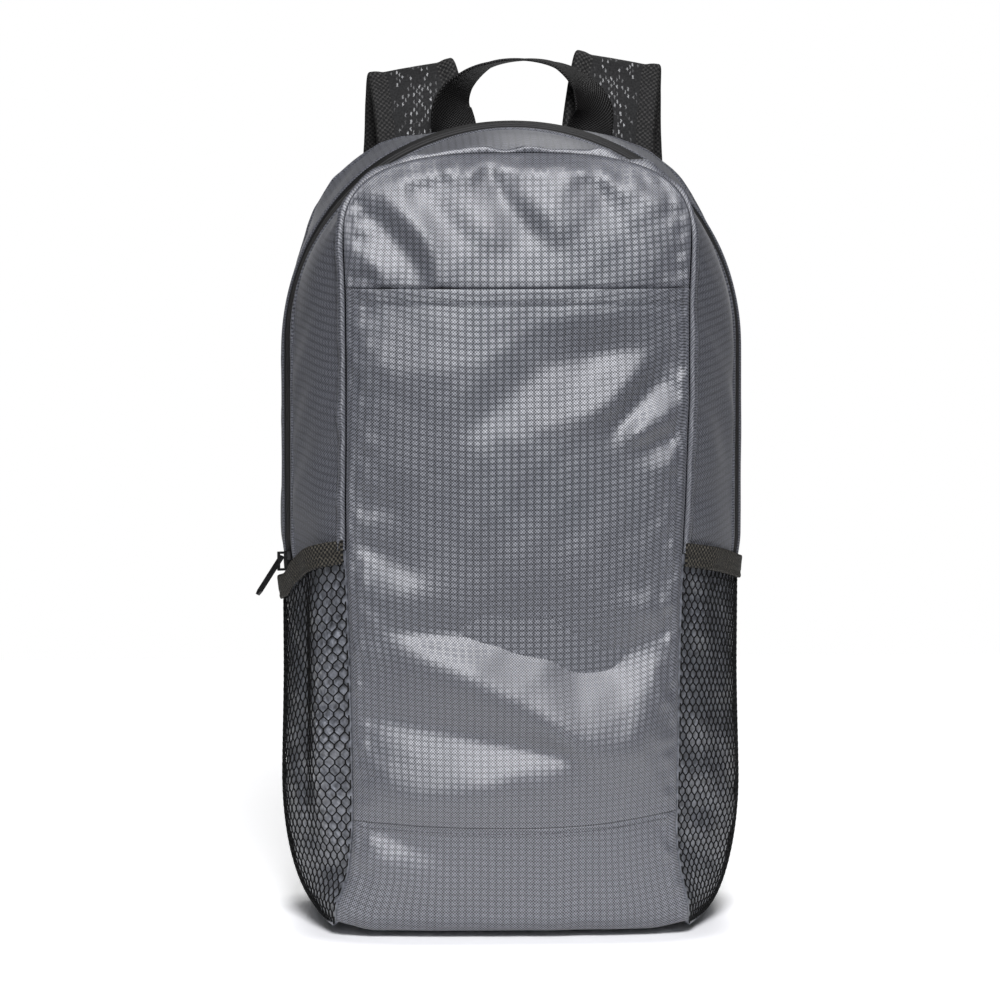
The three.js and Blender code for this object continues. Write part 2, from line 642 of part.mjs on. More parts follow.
const tabChain = [
  endPoint(-TAB_LAP, tabOut), endPoint(1, tabOut), ...turn(upperBar + LOCK.bar / 2, 1),
  endPoint(1, -tabOut), endPoint(-TAB_LAP, -tabOut),
];
const lockShape = new THREE.Shape();
const lockLength = 3 * LOCK.bar + 2 * LOCK.slot;
lockShape.moveTo(-LOCK.half, LOCK.round);
for (const [cx, cy, start] of [
  [-LOCK.half + LOCK.round, LOCK.round, 180], [LOCK.half - LOCK.round, LOCK.round, 270],
  [LOCK.half - LOCK.round, lockLength - LOCK.round, 0], [-LOCK.half + LOCK.round, lockLength - LOCK.round, 90],
]) {
  for (const degrees of [0, 45, 90]) {
    const angle = THREE.MathUtils.degToRad(start + degrees);
    lockShape.lineTo(cx + LOCK.round * Math.cos(angle), cy + LOCK.round * Math.sin(angle));
  }
}
for (const foot of [LOCK.bar, 2 * LOCK.bar + LOCK.slot]) {
  const slot = new THREE.Path();
  slot.moveTo(-LOCK.slotHalf, foot);
  slot.lineTo(-LOCK.slotHalf, foot + LOCK.slot);
  slot.lineTo(LOCK.slotHalf, foot + LOCK.slot);
  slot.lineTo(LOCK.slotHalf, foot);
  slot.closePath();
  lockShape.holes.push(slot);
}
const lockGeometry = new THREE.ExtrudeGeometry(lockShape, { depth: LOCK.thick, bevelEnabled: false });
lockGeometry.translate(0, 0, -LOCK.thick / 2);
const lockBasis = new THREE.Matrix4().makeBasis(end.across, end.tangent, end.across.clone().cross(end.tangent));
lockBasis.setPosition(endPoint(upperBar, 0));
lockGeometry.applyMatrix4(lockBasis);

const webbingCurve = curveThrough([...ANCHOR, endPoint(lowerBar + 14, -barOut - 0.5)]);
const webbingChain = [
  ...steps(0, 1, 10).map((place) => webbingCurve.getPoint(place)),
  endPoint(lowerBar + 7, -barOut),
  ...turn(lowerBar + LOCK.bar / 2, -1).reverse(),
  ...TAIL.map(({ along, out }) => endPoint(lowerBar + along, barOut + out)),
];

for (const side of ['left', 'right']) {
  const mirrored = side === 'left';
  const pieces = [
    ['strap_pad', sweep(strapFrames, padSection), 'padding'],
    ['strap_binding_inner', sweep(strapFrames, bindingSection(-1)), 'webbing'],
    ['strap_binding_outer', sweep(strapFrames, bindingSection(1)), 'webbing'],
    ['strap_tab', sweep(chainFrames(tabChain), () => ribbon(TAB_WIDTH, WEBBING)), 'webbing'],
    ['ladder_lock', lockGeometry, 'hardware'],
    ['strap_webbing', sweep(chainFrames(webbingChain), () => ribbon(TAB_WIDTH, WEBBING)), 'webbing'],
  ];
  for (const [name, geometry, colour] of pieces) {
    add(`${name}_${side}`, geometry, colour, pack, mirrored).position.set(STRAP_SHIFT, 0, STRAP_LIFT[side]);
  }
}

// Grab handle, both feet sewn flat to the back panel between the straps
const handleRows = [...HANDLE, ...HANDLE.slice(0, -1).reverse().map((row) => ({ ...row, x: -row.x, turn: 2 - row.turn }))];
const handleCurve = curveThrough(handleRows);
const handleFrames = steps(0, 1, 24).map((place) => {
  const tangent = handleCurve.getTangent(place);
  const turnAngle = readColumn(handleRows, 'turn', place) * Math.PI / 2;
  const level = new THREE.Vector3(0, 1, 0).projectOnPlane(tangent).normalize();
  const inPlane = new THREE.Vector3().crossVectors(level, tangent).normalize();
  const wide = inPlane.clone().multiplyScalar(Math.cos(turnAngle)).addScaledVector(level, Math.sin(turnAngle));
  return {
    at: handleCurve.getPoint(place).add(new THREE.Vector3(HANDLE_SHIFT, 0, 0)),
    across: wide,
    normal: new THREE.Vector3().crossVectors(tangent, wide),
  };
});
add('grab_handle', sweep(handleFrames, () => ribbon(HANDLE_WIDTH, WEBBING)), 'webbing');

// Zip slider at the left end of the zip. Local +X points out of the tape and +Z up it.
const zipPlace = gussetPoint(stationAt(SLIDER_HEIGHT, 0), 0);
const zipAcross = gussetPoint(stationAt(SLIDER_HEIGHT, 0.05), 0.05).sub(zipPlace);
const zip = new THREE.Group();
zip.name = 'zip';
zip.position.set(-zipPlace.x, zipPlace.y, zipPlace.z);
zip.rotation.z = Math.PI + Math.atan2(zipAcross.x, zipAcross.y);
pack.add(zip);

// Box with its low and high corners.
function box(low, high) {
  const size = high.map((value, i) => value - low[i]);
  const geometry = new THREE.BoxGeometry(...size);
  return geometry.translate(...low.map((value, i) => value + size[i] / 2));
}

const bodyTop = SLIDER.foot + SLIDER.thick;
const barOutside = bodyTop + SLIDER.rise + SLIDER.bar / 2;
const leg = (low, high) => box([bodyTop - WELD, -SLIDER.bridge / 2, low], [barOutside, SLIDER.bridge / 2, high]);
const halfReach = SLIDER.reach / 2;
const bodyOutline = new THREE.Shape([
  new THREE.Vector2(-SLIDER.width / 2 + SLIDER.tail, -SLIDER.length / 2),
  new THREE.Vector2(SLIDER.width / 2 - SLIDER.tail, -SLIDER.length / 2),
  new THREE.Vector2(SLIDER.width / 2, SLIDER.nose),
  new THREE.Vector2(SLIDER.width / 2 - SLIDER.nose, SLIDER.length / 2),
  new THREE.Vector2(-SLIDER.width / 2 + SLIDER.nose, SLIDER.length / 2),
  new THREE.Vector2(-SLIDER.width / 2, SLIDER.nose),
]);
const body = new THREE.ExtrudeGeometry(bodyOutline, { depth: SLIDER.thick, bevelEnabled: false });
body.applyMatrix4(new THREE.Matrix4().makeBasis(
  new THREE.Vector3(0, 1, 0), new THREE.Vector3(0, 0, 1), new THREE.Vector3(1, 0, 0),
));
body.translate(SLIDER.foot, 0, 0);
const bar = box(
  [barOutside - SLIDER.bar, -SLIDER.bridge / 2, -halfReach],
  [barOutside, SLIDER.bridge / 2, halfReach],
);
const bridge = [body, leg(-halfReach, SLIDER.bar - halfReach), leg(halfReach - SLIDER.bar, halfReach), bar];
add('zip_slider', joined(bridge), 'hardware', zip);

// The pull hangs from the bridge by its eye and stands off the cloth.
const pullOutline = new THREE.Shape();
const tipY = -PULL.length;
const eyeTop = PULL.eyeLong + PULL.rim;
pullOutline.moveTo(-PULL.half + PULL.shoulder, eyeTop);
pullOutline.lineTo(-PULL.half, eyeTop - PULL.shoulderDrop);
pullOutline.lineTo(-PULL.half, tipY + PULL.tipLong);
pullOutline.lineTo(-PULL.half + PULL.tipCut, tipY);
pullOutline.lineTo(PULL.half - PULL.tipCut, tipY);
pullOutline.lineTo(PULL.half, tipY + PULL.tipLong);
pullOutline.lineTo(PULL.half, eyeTop - PULL.shoulderDrop);
pullOutline.lineTo(PULL.half - PULL.shoulder, eyeTop);
pullOutline.closePath();
for (const [low, high] of [[-PULL.eyeLong, PULL.eyeLong], [tipY + PULL.windowLow, tipY + PULL.windowHigh]]) {
  const eye = new THREE.Path();
  eye.moveTo(-PULL.eyeHalf, low);
  eye.lineTo(-PULL.eyeHalf, high);
  eye.lineTo(PULL.eyeHalf, high);
  eye.lineTo(PULL.eyeHalf, low);
  eye.closePath();
  pullOutline.holes.push(eye);
}
const pullGeometry = new THREE.ExtrudeGeometry(pullOutline, { depth: PULL.thick, bevelEnabled: false });
pullGeometry.translate(0, 0, -PULL.thick / 2);
pullGeometry.applyMatrix4(new THREE.Matrix4().makeBasis(
  new THREE.Vector3(0, 1, 0), new THREE.Vector3(0, 0, 1), new THREE.Vector3(1, 0, 0),
));
const pull = add('zip_pull', pullGeometry, 'hardware', zip);
pull.position.x = barOutside - SLIDER.bar / 2;
pull.rotation.y = -THREE.MathUtils.degToRad(PULL.lean);

export default pack;
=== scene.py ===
import math

import bpy
import numpy as np
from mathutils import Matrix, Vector


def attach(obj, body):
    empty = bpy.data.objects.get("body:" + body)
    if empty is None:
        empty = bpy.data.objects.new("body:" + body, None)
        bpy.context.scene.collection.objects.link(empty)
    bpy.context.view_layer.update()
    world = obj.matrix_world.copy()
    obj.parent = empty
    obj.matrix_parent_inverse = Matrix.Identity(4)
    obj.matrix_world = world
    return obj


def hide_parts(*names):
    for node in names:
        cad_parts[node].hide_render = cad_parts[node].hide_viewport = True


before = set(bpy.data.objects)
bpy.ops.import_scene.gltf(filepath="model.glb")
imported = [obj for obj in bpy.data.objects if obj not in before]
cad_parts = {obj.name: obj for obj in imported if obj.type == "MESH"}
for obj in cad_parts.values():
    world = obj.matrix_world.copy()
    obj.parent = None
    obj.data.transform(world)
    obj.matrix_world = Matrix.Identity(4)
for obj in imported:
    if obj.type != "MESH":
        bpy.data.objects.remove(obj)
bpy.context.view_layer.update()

# Camera
# A long lens looks at the front of the bag from a little to the left and a little above.
# The photograph shows the point at half the bag's height at AIM_PIXEL.
VIEW_DISTANCE = 2.6
VIEW_AZIMUTH = math.radians(-2.5)
VIEW_ELEVATION = math.radians(5.0)
PHOTO_SIZE = 1000
AIM_PIXEL = (512.5, 500.5)
AIM_HEIGHT = 0.233
METRES_PER_PIXEL = 0.000554
SENSOR = 36.0

camera_back = Vector((
    math.sin(VIEW_AZIMUTH) * math.cos(VIEW_ELEVATION),
    -math.cos(VIEW_AZIMUTH) * math.cos(VIEW_ELEVATION),
    math.sin(VIEW_ELEVATION),
))
camera_turn = (-camera_back).to_track_quat("-Z", "Y")
aim_right = (AIM_PIXEL[0] - PHOTO_SIZE / 2) * METRES_PER_PIXEL
aim_down = (AIM_PIXEL[1] - PHOTO_SIZE / 2) * METRES_PER_PIXEL
aim = Vector((0, 0, AIM_HEIGHT))
aim -= camera_turn @ Vector((aim_right, -aim_down, 0))
camera = bpy.data.objects.new("camera", bpy.data.cameras.new("camera"))
camera.data.sensor_width = SENSOR
camera.data.lens = SENSOR * VIEW_DISTANCE / (PHOTO_SIZE * METRES_PER_PIXEL)
camera.data.clip_end = 50.0
camera.location = aim + camera_back * VIEW_DISTANCE
camera.rotation_mode = "QUATERNION"
camera.rotation_quaternion = camera_turn
bpy.context.collection.objects.link(camera)
bpy.context.scene.camera = camera


# Studio
# The bag stands on a white table with a painted glow in a dark room, before a white wall that only the
# camera sees. A large soft lamp hangs high before it, a weak wide one fills in, another lights its back.
MM = 0.001
TABLE_HALF = 0.55
TABLE_FRONT = -0.3
TABLE_BACK = 1.2
LAMPS = {
    "key": dict(at=(0.02, -1.75, 1.75), to=(0, 0, 0.24), size=(0.7, 1.0), watts=71, colour="#fbfbff"),
    "fill": dict(at=(-0.2, -3.2, 1.1), to=(0, 0, 0.24), size=(2.2, 1.2), watts=18, colour="#f4f8ff"),
    "back": dict(at=(0.5, 1.6, 2.2), to=(0, 0.1, 0.3), size=(1.0, 1.0), watts=12, colour="#ffffff"),
}
ROOM = 0.05
GLOW = 0.55
GLOW_FREE = (0.106, 0.08)
GLOW_FULL = 1.8


def linear(colour):
    """An sRGB hex colour as linear RGBA."""
    parts = [int(colour[i:i + 2], 16) / 255 for i in (1, 3, 5)]
    return (*[c / 12.92 if c <= 0.04045 else ((c + 0.055) / 1.055) ** 2.4 for c in parts], 1.0)


def add_node(tree, kind, inputs=(), **settings):
    """A node with its settings; inputs maps a socket to a value or to the socket that feeds it."""
    made = tree.nodes.new(kind)
    for name, value in settings.items():
        setattr(made, name, value)
    for socket, value in dict(inputs).items():
        if isinstance(value, bpy.types.NodeSocket):
            tree.links.new(value, made.inputs[socket])
        else:
            made.inputs[socket].default_value = value
    return made


def new_material(name, **sockets):
    """A material with one shader, whose constant sockets are named with underscores for spaces."""
    made = bpy.data.materials.new(name)
    made.use_nodes = True
    shader = made.node_tree.nodes["Principled BSDF"]
    for socket, value in sockets.items():
        shader.inputs[socket.replace("_", " ")].default_value = value
    return made, made.node_tree, shader


# Cast acrylic with a sanded face, without reflections. Its glow is painted light that whitens the floor
# away from the bag. It is cut off round the bag's foot, so the floor stays dark where the bag covers it.
acrylic, tree, shader = new_material(
    "matte white acrylic with painted glow", Base_Color=linear("#f6f6f6"), Roughness=0.9, Emission_Color=linear("#ffffff")
)
place = add_node(tree, "ShaderNodeTexCoord")
shares = (1 / GLOW_FREE[0], 1 / GLOW_FREE[1], 1)
spread = {0: place.outputs["Object"], 1: shares}
spread = add_node(tree, "ShaderNodeVectorMath", spread, operation="MULTIPLY")
boxy = {0: spread.outputs[0], 1: spread.outputs[0]}
boxy = add_node(tree, "ShaderNodeVectorMath", boxy, operation="MULTIPLY")
away = add_node(tree, "ShaderNodeVectorMath", {0: boxy.outputs[0]}, operation="LENGTH")
# The painted glow: none round the bag's foot, rising to full strength away from it.
glow = {"Value": away.outputs["Value"], "From Min": 1.0, "From Max": GLOW_FULL, "To Max": GLOW}
glow = add_node(tree, "ShaderNodeMapRange", glow, interpolation_type="SMOOTHSTEP")
tree.links.new(glow.outputs[0], shader.inputs["Emission Strength"])
table_points = [(x, y, 0) for y in (TABLE_FRONT, TABLE_BACK) for x in (-TABLE_HALF, TABLE_HALF)]
table_mesh = bpy.data.meshes.new("painted_glow_table")
table_mesh.from_pydata(table_points, [], [(0, 1, 3, 2)])
table_mesh.materials.append(acrylic)
table = bpy.data.objects.new("painted_glow_table", table_mesh)
bpy.context.collection.objects.link(table)

for lamp_name, lamp in LAMPS.items():
    light = bpy.data.lights.new(lamp_name, "AREA")
    light.shape = "RECTANGLE"
    light.size, light.size_y = lamp["size"]
    light.energy = lamp["watts"]
    light.color = linear(lamp["colour"])[:3]
    holder = bpy.data.objects.new(lamp_name, light)
    holder.location = lamp["at"]
    holder.rotation_euler = (Vector(lamp["to"]) - Vector(lamp["at"])).to_track_quat("-Z", "Y").to_euler()
    bpy.context.collection.objects.link(holder)

room = bpy.data.worlds.new("studio")
room.use_nodes = True
tree = room.node_tree
ray = add_node(tree, "ShaderNodeLightPath")
seen = {"Value": ray.outputs["Is Camera Ray"], "To Min": ROOM, "To Max": 1.0}
strength = add_node(tree, "ShaderNodeMapRange", seen)
tree.links.new(strength.outputs[0], tree.nodes["Background"].inputs["Strength"])
tree.nodes["Background"].inputs["Color"].default_value = (1, 1, 1, 1)
bpy.context.scene.world = room
bpy.context.scene.view_settings.view_transform = "Standard"


# Bag cloth
# A satin polyester with a woven check. The floats of its squares lean up the cloth and those of its
# lines lean down, so the squares shine first and the lines only in the full highlight.
CLOTH = 1.5
CHECK = (4.1, 3.25)
CHECK_LINE = 0.34
CHECK_EDGE = 0.08
WEAVE = (1.55, 1.62)
WEAVE_FULL = 0.4
YARN_NOISE = 1.1
YARN = dict(weave=0.9, fuzz=0.8, check=0.6, full=2.4, relief=0.12)
CLOTH_TONES = ("#101114", "#6b6d75")
SHINE = dict(gaps=0.36, floats=1.0, low=0.1, high=1.7)
GLOSS = dict(lines=0.47, squares=0.5)
LEAN = dict(lines=-0.06, squares=0.12, weave=0.15)

# Silky and bright where it faces the lamp, dull and dark where it turns away.
cloth, tree, shader = new_material("satin polyester check", IOR=1.66, Sheen_Weight=0.12, Sheen_Roughness=0.4)
place = add_node(tree, "ShaderNodeAttribute", attribute_name="cloth_mm")
parts = add_node(tree, "ShaderNodeSeparateXYZ", {0: place.outputs["Vector"]})
squares = []
for axis, pitch in zip("XY", CHECK):
    turns = add_node(tree, "ShaderNodeMath", {0: parts.outputs[axis], 1: 1 / pitch}, operation="MULTIPLY")
    wave = add_node(tree, "ShaderNodeMath", {0: turns.outputs[0], 1: 0.5}, operation="PINGPONG")
    edge = {
        "Value": wave.outputs[0],
        "From Min": CHECK_LINE / 2 - CHECK_EDGE, "From Max": CHECK_LINE / 2 + CHECK_EDGE,
    }
    squares.append(add_node(tree, "ShaderNodeMapRange", edge, interpolation_type="SMOOTHSTEP").outputs[0])
square = add_node(tree, "ShaderNodeMath", {0: squares[0], 1: squares[1]}, operation="MULTIPLY")
# The yarns' own pitch of 0.3 mm is too fine to show, so the weave is drawn coarser.
floats = []
for axis, pitch in zip("XY", WEAVE):
    turns = {0: parts.outputs[axis], 1: 2 * math.pi / pitch}
    turns = add_node(tree, "ShaderNodeMath", turns, operation="MULTIPLY")
    floats.append(add_node(tree, "ShaderNodeMath", {0: turns.outputs[0]}, operation="SINE").outputs[0])
crossed = add_node(tree, "ShaderNodeMath", {0: floats[0], 1: floats[1]}, operation="MULTIPLY")
weave = {
    "Value": crossed.outputs[0],
    "From Min": -WEAVE_FULL, "From Max": WEAVE_FULL, "To Min": -1.0, "To Max": 1.0,
}
weave = add_node(tree, "ShaderNodeMapRange", weave)
fuzz = {"Vector": place.outputs["Vector"], "Scale": YARN_NOISE, "Detail": 2.0}
fuzz = add_node(tree, "ShaderNodeTexNoise", fuzz)
strands = {0: weave.outputs[0], 1: YARN["weave"], 2: fuzz.outputs["Fac"]}
strands = add_node(tree, "ShaderNodeMath", strands, operation="MULTIPLY_ADD")
yarns = {0: fuzz.outputs["Fac"], 1: YARN["fuzz"], 2: strands.outputs[0]}
yarns = add_node(tree, "ShaderNodeMath", yarns, operation="MULTIPLY_ADD")
grain = {0: square.outputs[0], 1: YARN["check"], 2: yarns.outputs[0]}
grain = add_node(tree, "ShaderNodeMath", grain, operation="MULTIPLY_ADD")
level = add_node(tree, "ShaderNodeMapRange", {"Value": grain.outputs[0], "From Max": YARN["full"]})
tones = {0: level.outputs[0], 6: linear(CLOTH_TONES[0]), 7: linear(CLOTH_TONES[1])}
tone = add_node(tree, "ShaderNodeMix", tones, data_type="RGBA")
tree.links.new(tone.outputs[2], shader.inputs["Base Color"])
shine = {
    "Value": yarns.outputs[0],
    "From Min": SHINE["low"], "From Max": SHINE["high"], "To Min": SHINE["gaps"], "To Max": SHINE["floats"],
}
shine = add_node(tree, "ShaderNodeMapRange", shine)
tree.links.new(shine.outputs[0], shader.inputs["Specular IOR Level"])
gloss = {"Value": square.outputs[0], "To Min": GLOSS["lines"], "To Max": GLOSS["squares"]}
gloss = add_node(tree, "ShaderNodeMapRange", gloss)
tree.links.new(gloss.outputs[0], shader.inputs["Roughness"])
twill = {0: weave.outputs[0], 1: LEAN["weave"], 2: square.outputs[0]}
twill = add_node(tree, "ShaderNodeMath", twill, operation="MULTIPLY_ADD")
lean = {"Value": twill.outputs[0], "To Min": LEAN["lines"], "To Max": LEAN["squares"]}
lean = add_node(tree, "ShaderNodeMapRange", lean, clamp=False)
lean = add_node(tree, "ShaderNodeCombineXYZ", {"Z": lean.outputs[0]})
face = add_node(tree, "ShaderNodeNewGeometry")
leaning = {0: face.outputs["Normal"], 1: lean.outputs[0]}
leaning = add_node(tree, "ShaderNodeVectorMath", leaning, operation="ADD")
leaning = add_node(tree, "ShaderNodeVectorMath", {0: leaning.outputs[0]}, operation="NORMALIZE")
bumped = {
    "Height": yarns.outputs[0], "Strength": 0.2, "Distance": YARN["relief"] * MM,
    "Normal": leaning.outputs[0],
}
bumped = add_node(tree, "ShaderNodeBump", bumped)
tree.links.new(bumped.outputs[0], shader.inputs["Normal"])

# The seams that run round the bag like hoops, front to back. Each goes along the base, round a
# lower corner, up the side and over the arch; the cloth between them is sewn to a curve.
GAP = 0.4
SHARP = math.radians(50)
HOOPS = {
    "front": dict(depth=-60, foot_round=12, lean=8, base_half=97, half_width=94, waist=4,
                  corner_top=60, corner_power=1, spring=375, top=426, arch_power=3.1, sag=0),
    "zip": dict(depth=0, foot_round=0, lean=0, base_half=104, half_width=124.5, waist=0,
                corner_top=80, corner_power=2, spring=321, top=441, arch_power=2, sag=0),
    "back": dict(depth=64, foot_round=8, lean=-6, base_half=102, half_width=121, waist=0,
                 corner_top=80, corner_power=2, spring=303, top=440, arch_power=3, sag=10),
}


def smooth(value, low, high):
    share = np.clip((value - low) / (high - low), 0, 1)
    return share * share * (3 - 2 * share)


def mix(start, end, share):
    return start + (end - start) * share


def hoop_depth(hoop, z):
    """Depth of a hoop, which curls under at the floor and leans in over the arch."""
    curl = np.clip(hoop["foot_round"] - z, 0, None)
    under = hoop["foot_round"] - np.sqrt(np.clip(hoop["foot_round"] ** 2 - curl ** 2, 0, None))
    lean = hoop["lean"] * np.clip((z - hoop["spring"]) / (hoop["top"] - hoop["spring"]), 0, 1) ** 2
    return hoop["depth"] - np.sign(hoop["depth"]) * under + lean


def side_half(hoop, z):
    way = np.clip((z - hoop["corner_top"]) / (hoop["spring"] - hoop["corner_top"]), 0, 1)
    return hoop["half_width"] - hoop["waist"] * np.sin(math.pi * way)


def front_half(z):
    """Half width of the front face, which widens a little below its lower corners."""
    hoop = HOOPS["front"]
    flare = hoop["base_half"] - hoop["half_width"]
    return side_half(hoop, z) + flare * np.clip(1 - z / hoop["corner_top"], 0, 1)


def across(t):
    """Weights of the front, zip and back hoops at t from -1 at the front to 1 at the back."""
    return t * (t - 1) / 2, 1 - t * t, t * (t + 1) / 2


def unit(vectors):
    return vectors / np.maximum(np.linalg.norm(vectors, axis=-1, keepdims=True), 1e-12)


def grid_normals(grid):
    return unit(np.cross(np.gradient(grid, axis=0), np.gradient(grid, axis=1)))


# How the standing bag has settled: at heights z, the front seam has moved out on the left and on the
# right, and the lower corners have risen off the floor.
SETTLED = [
    (0, 2, -3.5), (14, 2.2, -3.3), (22, -0.4, -4.5), (33, -3.2, -6.4), (49, -4, -7.7), (60, -4.3, -7.6),
    (76, -3.9, -6.6), (103, -2.3, -5.1), (130, -0.8, -4), (158, 0.5, -2.8), (185, 2, -1.7), (207, 3, -0.5),
    (239, 3, 1), (293, 1.6, 2), (348, 0, 0),
]
SETTLED_FREE = dict(inner=30, outer=92, front=52)
CORNER_LIFT = dict(left=5.0, right=4.0, inner=74, outer=102, height=62)


def settled(points):
    """Points of the bag, moved from its sewn shape to the way it stands."""
    x, y, z = np.moveaxis(np.asarray(points, float), -1, 0)
    heights, left, right = np.array(SETTLED).T
    move = np.where(x < 0, np.interp(z, heights, left), np.interp(z, heights, right))
    move = np.sign(x) * move * smooth(np.abs(x), SETTLED_FREE["inner"], SETTLED_FREE["outer"])
    move = move * smooth(-y, 0, SETTLED_FREE["front"])
    lift = np.where(x < 0, CORNER_LIFT["left"], CORNER_LIFT["right"])
    lift = lift * smooth(np.abs(x), CORNER_LIFT["inner"], CORNER_LIFT["outer"])
    lift = lift * (1 - smooth(z, 0, CORNER_LIFT["height"]))
    return np.stack([x + move, y, z + lift], -1)


def build(name, points, faces, material, stands_for=(), body="bag", measure=None):
    """A piece of the bag from points in millimetres, riding on its body in place of its solids."""
    mesh = bpy.data.meshes.new(name)
    mesh.from_pydata((settled(points) * MM).tolist(), [], [list(face) for face in faces])
    mesh.update()
    mesh.shade_smooth()
    mesh.set_sharp_from_angle(angle=SHARP)
    if measure is not None:
        stored = mesh.attributes.new("cloth_mm", "FLOAT_VECTOR", "POINT")
        stored.data.foreach_set("vector", np.asarray(measure, np.float32).ravel())
    mesh.materials.append(material)
    piece = bpy.data.objects.new(name, mesh)
    bpy.context.collection.objects.link(piece)
    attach(piece, body)
    if stands_for:
        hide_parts(*stands_for)
    return piece


def grid_faces(columns, rows, start=0):
    index = start + np.arange(columns * rows).reshape(columns, rows)
    quads = np.stack([index[:-1, :-1], index[1:, :-1], index[1:, 1:], index[:-1, 1:]], -1)
    return quads.reshape(-1, 4)


def cloth_measure(grid):
    """Distance along the cloth across its columns from the middle, and up its rows."""
    wide = np.linalg.norm(np.diff(grid, axis=0), axis=-1)
    tall = np.linalg.norm(np.diff(grid, axis=1), axis=-1)
    wide = np.concatenate([np.zeros((1, grid.shape[1])), np.cumsum(wide, 0)])
    tall = np.concatenate([np.zeros((grid.shape[0], 1)), np.cumsum(tall, 1)], 1)
    wide -= wide[grid.shape[0] // 2]
    return np.stack([wide, tall, np.zeros_like(wide)], -1)


def wall(name, grid, material, stands_for, thick=CLOTH, mirrored=False):
    """A wall of cloth whose outer face is the grid."""
    columns, rows = grid.shape[:2]
    inner = grid - thick * grid_normals(grid)
    points = np.concatenate([grid.reshape(-1, 3), inner.reshape(-1, 3)])
    count = columns * rows
    index = np.arange(count).reshape(columns, rows)
    faces = [grid_faces(columns, rows), grid_faces(columns, rows, count)[:, ::-1]]
    for edge in (index[:, 0], index[::-1, -1], index[0, ::-1], index[-1, :]):
        faces.append(np.stack([edge[:-1], edge[:-1] + count, edge[1:] + count, edge[1:]], -1))
    faces = np.concatenate(faces)
    if mirrored:
        points = points * (-1, 1, 1)
        faces = faces[:, ::-1]
    measure = np.tile(cloth_measure(grid).reshape(-1, 3), (2, 1))
    return build(name, points, faces.tolist(), material, stands_for, measure=measure)


# Front face
# The panel is sewn into the piped front seam, the slip pocket lies over it from the hem at its
# mouth down to the lower seam, and a strip below wraps under the bag as its base.
FRONT_BULGE = 16
POCKET_MOUTH = 353
POCKET_STEP = CLOTH + 0.7
POCKET_SINK = 4.5
PANEL_SLIP = dict(foot=20, full=4)
MOUTH_TUCK = dict(depth=1.0, reach=0.9, slope=0.8)
HEM = dict(height=7, step=1.5, rise=0.5, turn=0.09, soft=0.15, soft_reach=0.6, stitch=0.9)
BASE_SEAM = dict(left=64.5, middle=61, right=69, stitch=3)
EDGE_DROP = 0.7
SEAM_DROP = EDGE_DROP / 2
SEAM_GAP = 0.15
HEEL_ROW = 0.2
FOOT_LIFT = dict(height=4.0, start=20, full=60)
FOOT_TUCK = 0.75
PILLOW = dict(across=0.75, up=0.7, foot=0.1)
SEAM_HOLD = dict(side=6, top=10)
# Puckers beside the seams, and rumples of the whole face as height, pitch and seed.
PUCKER = dict(rise=0.75, pitch=11, reach=9, side_seed=3, top_seed=4)
RUMPLES = ((0.22, 34, 5), (0.06, 16, 6))
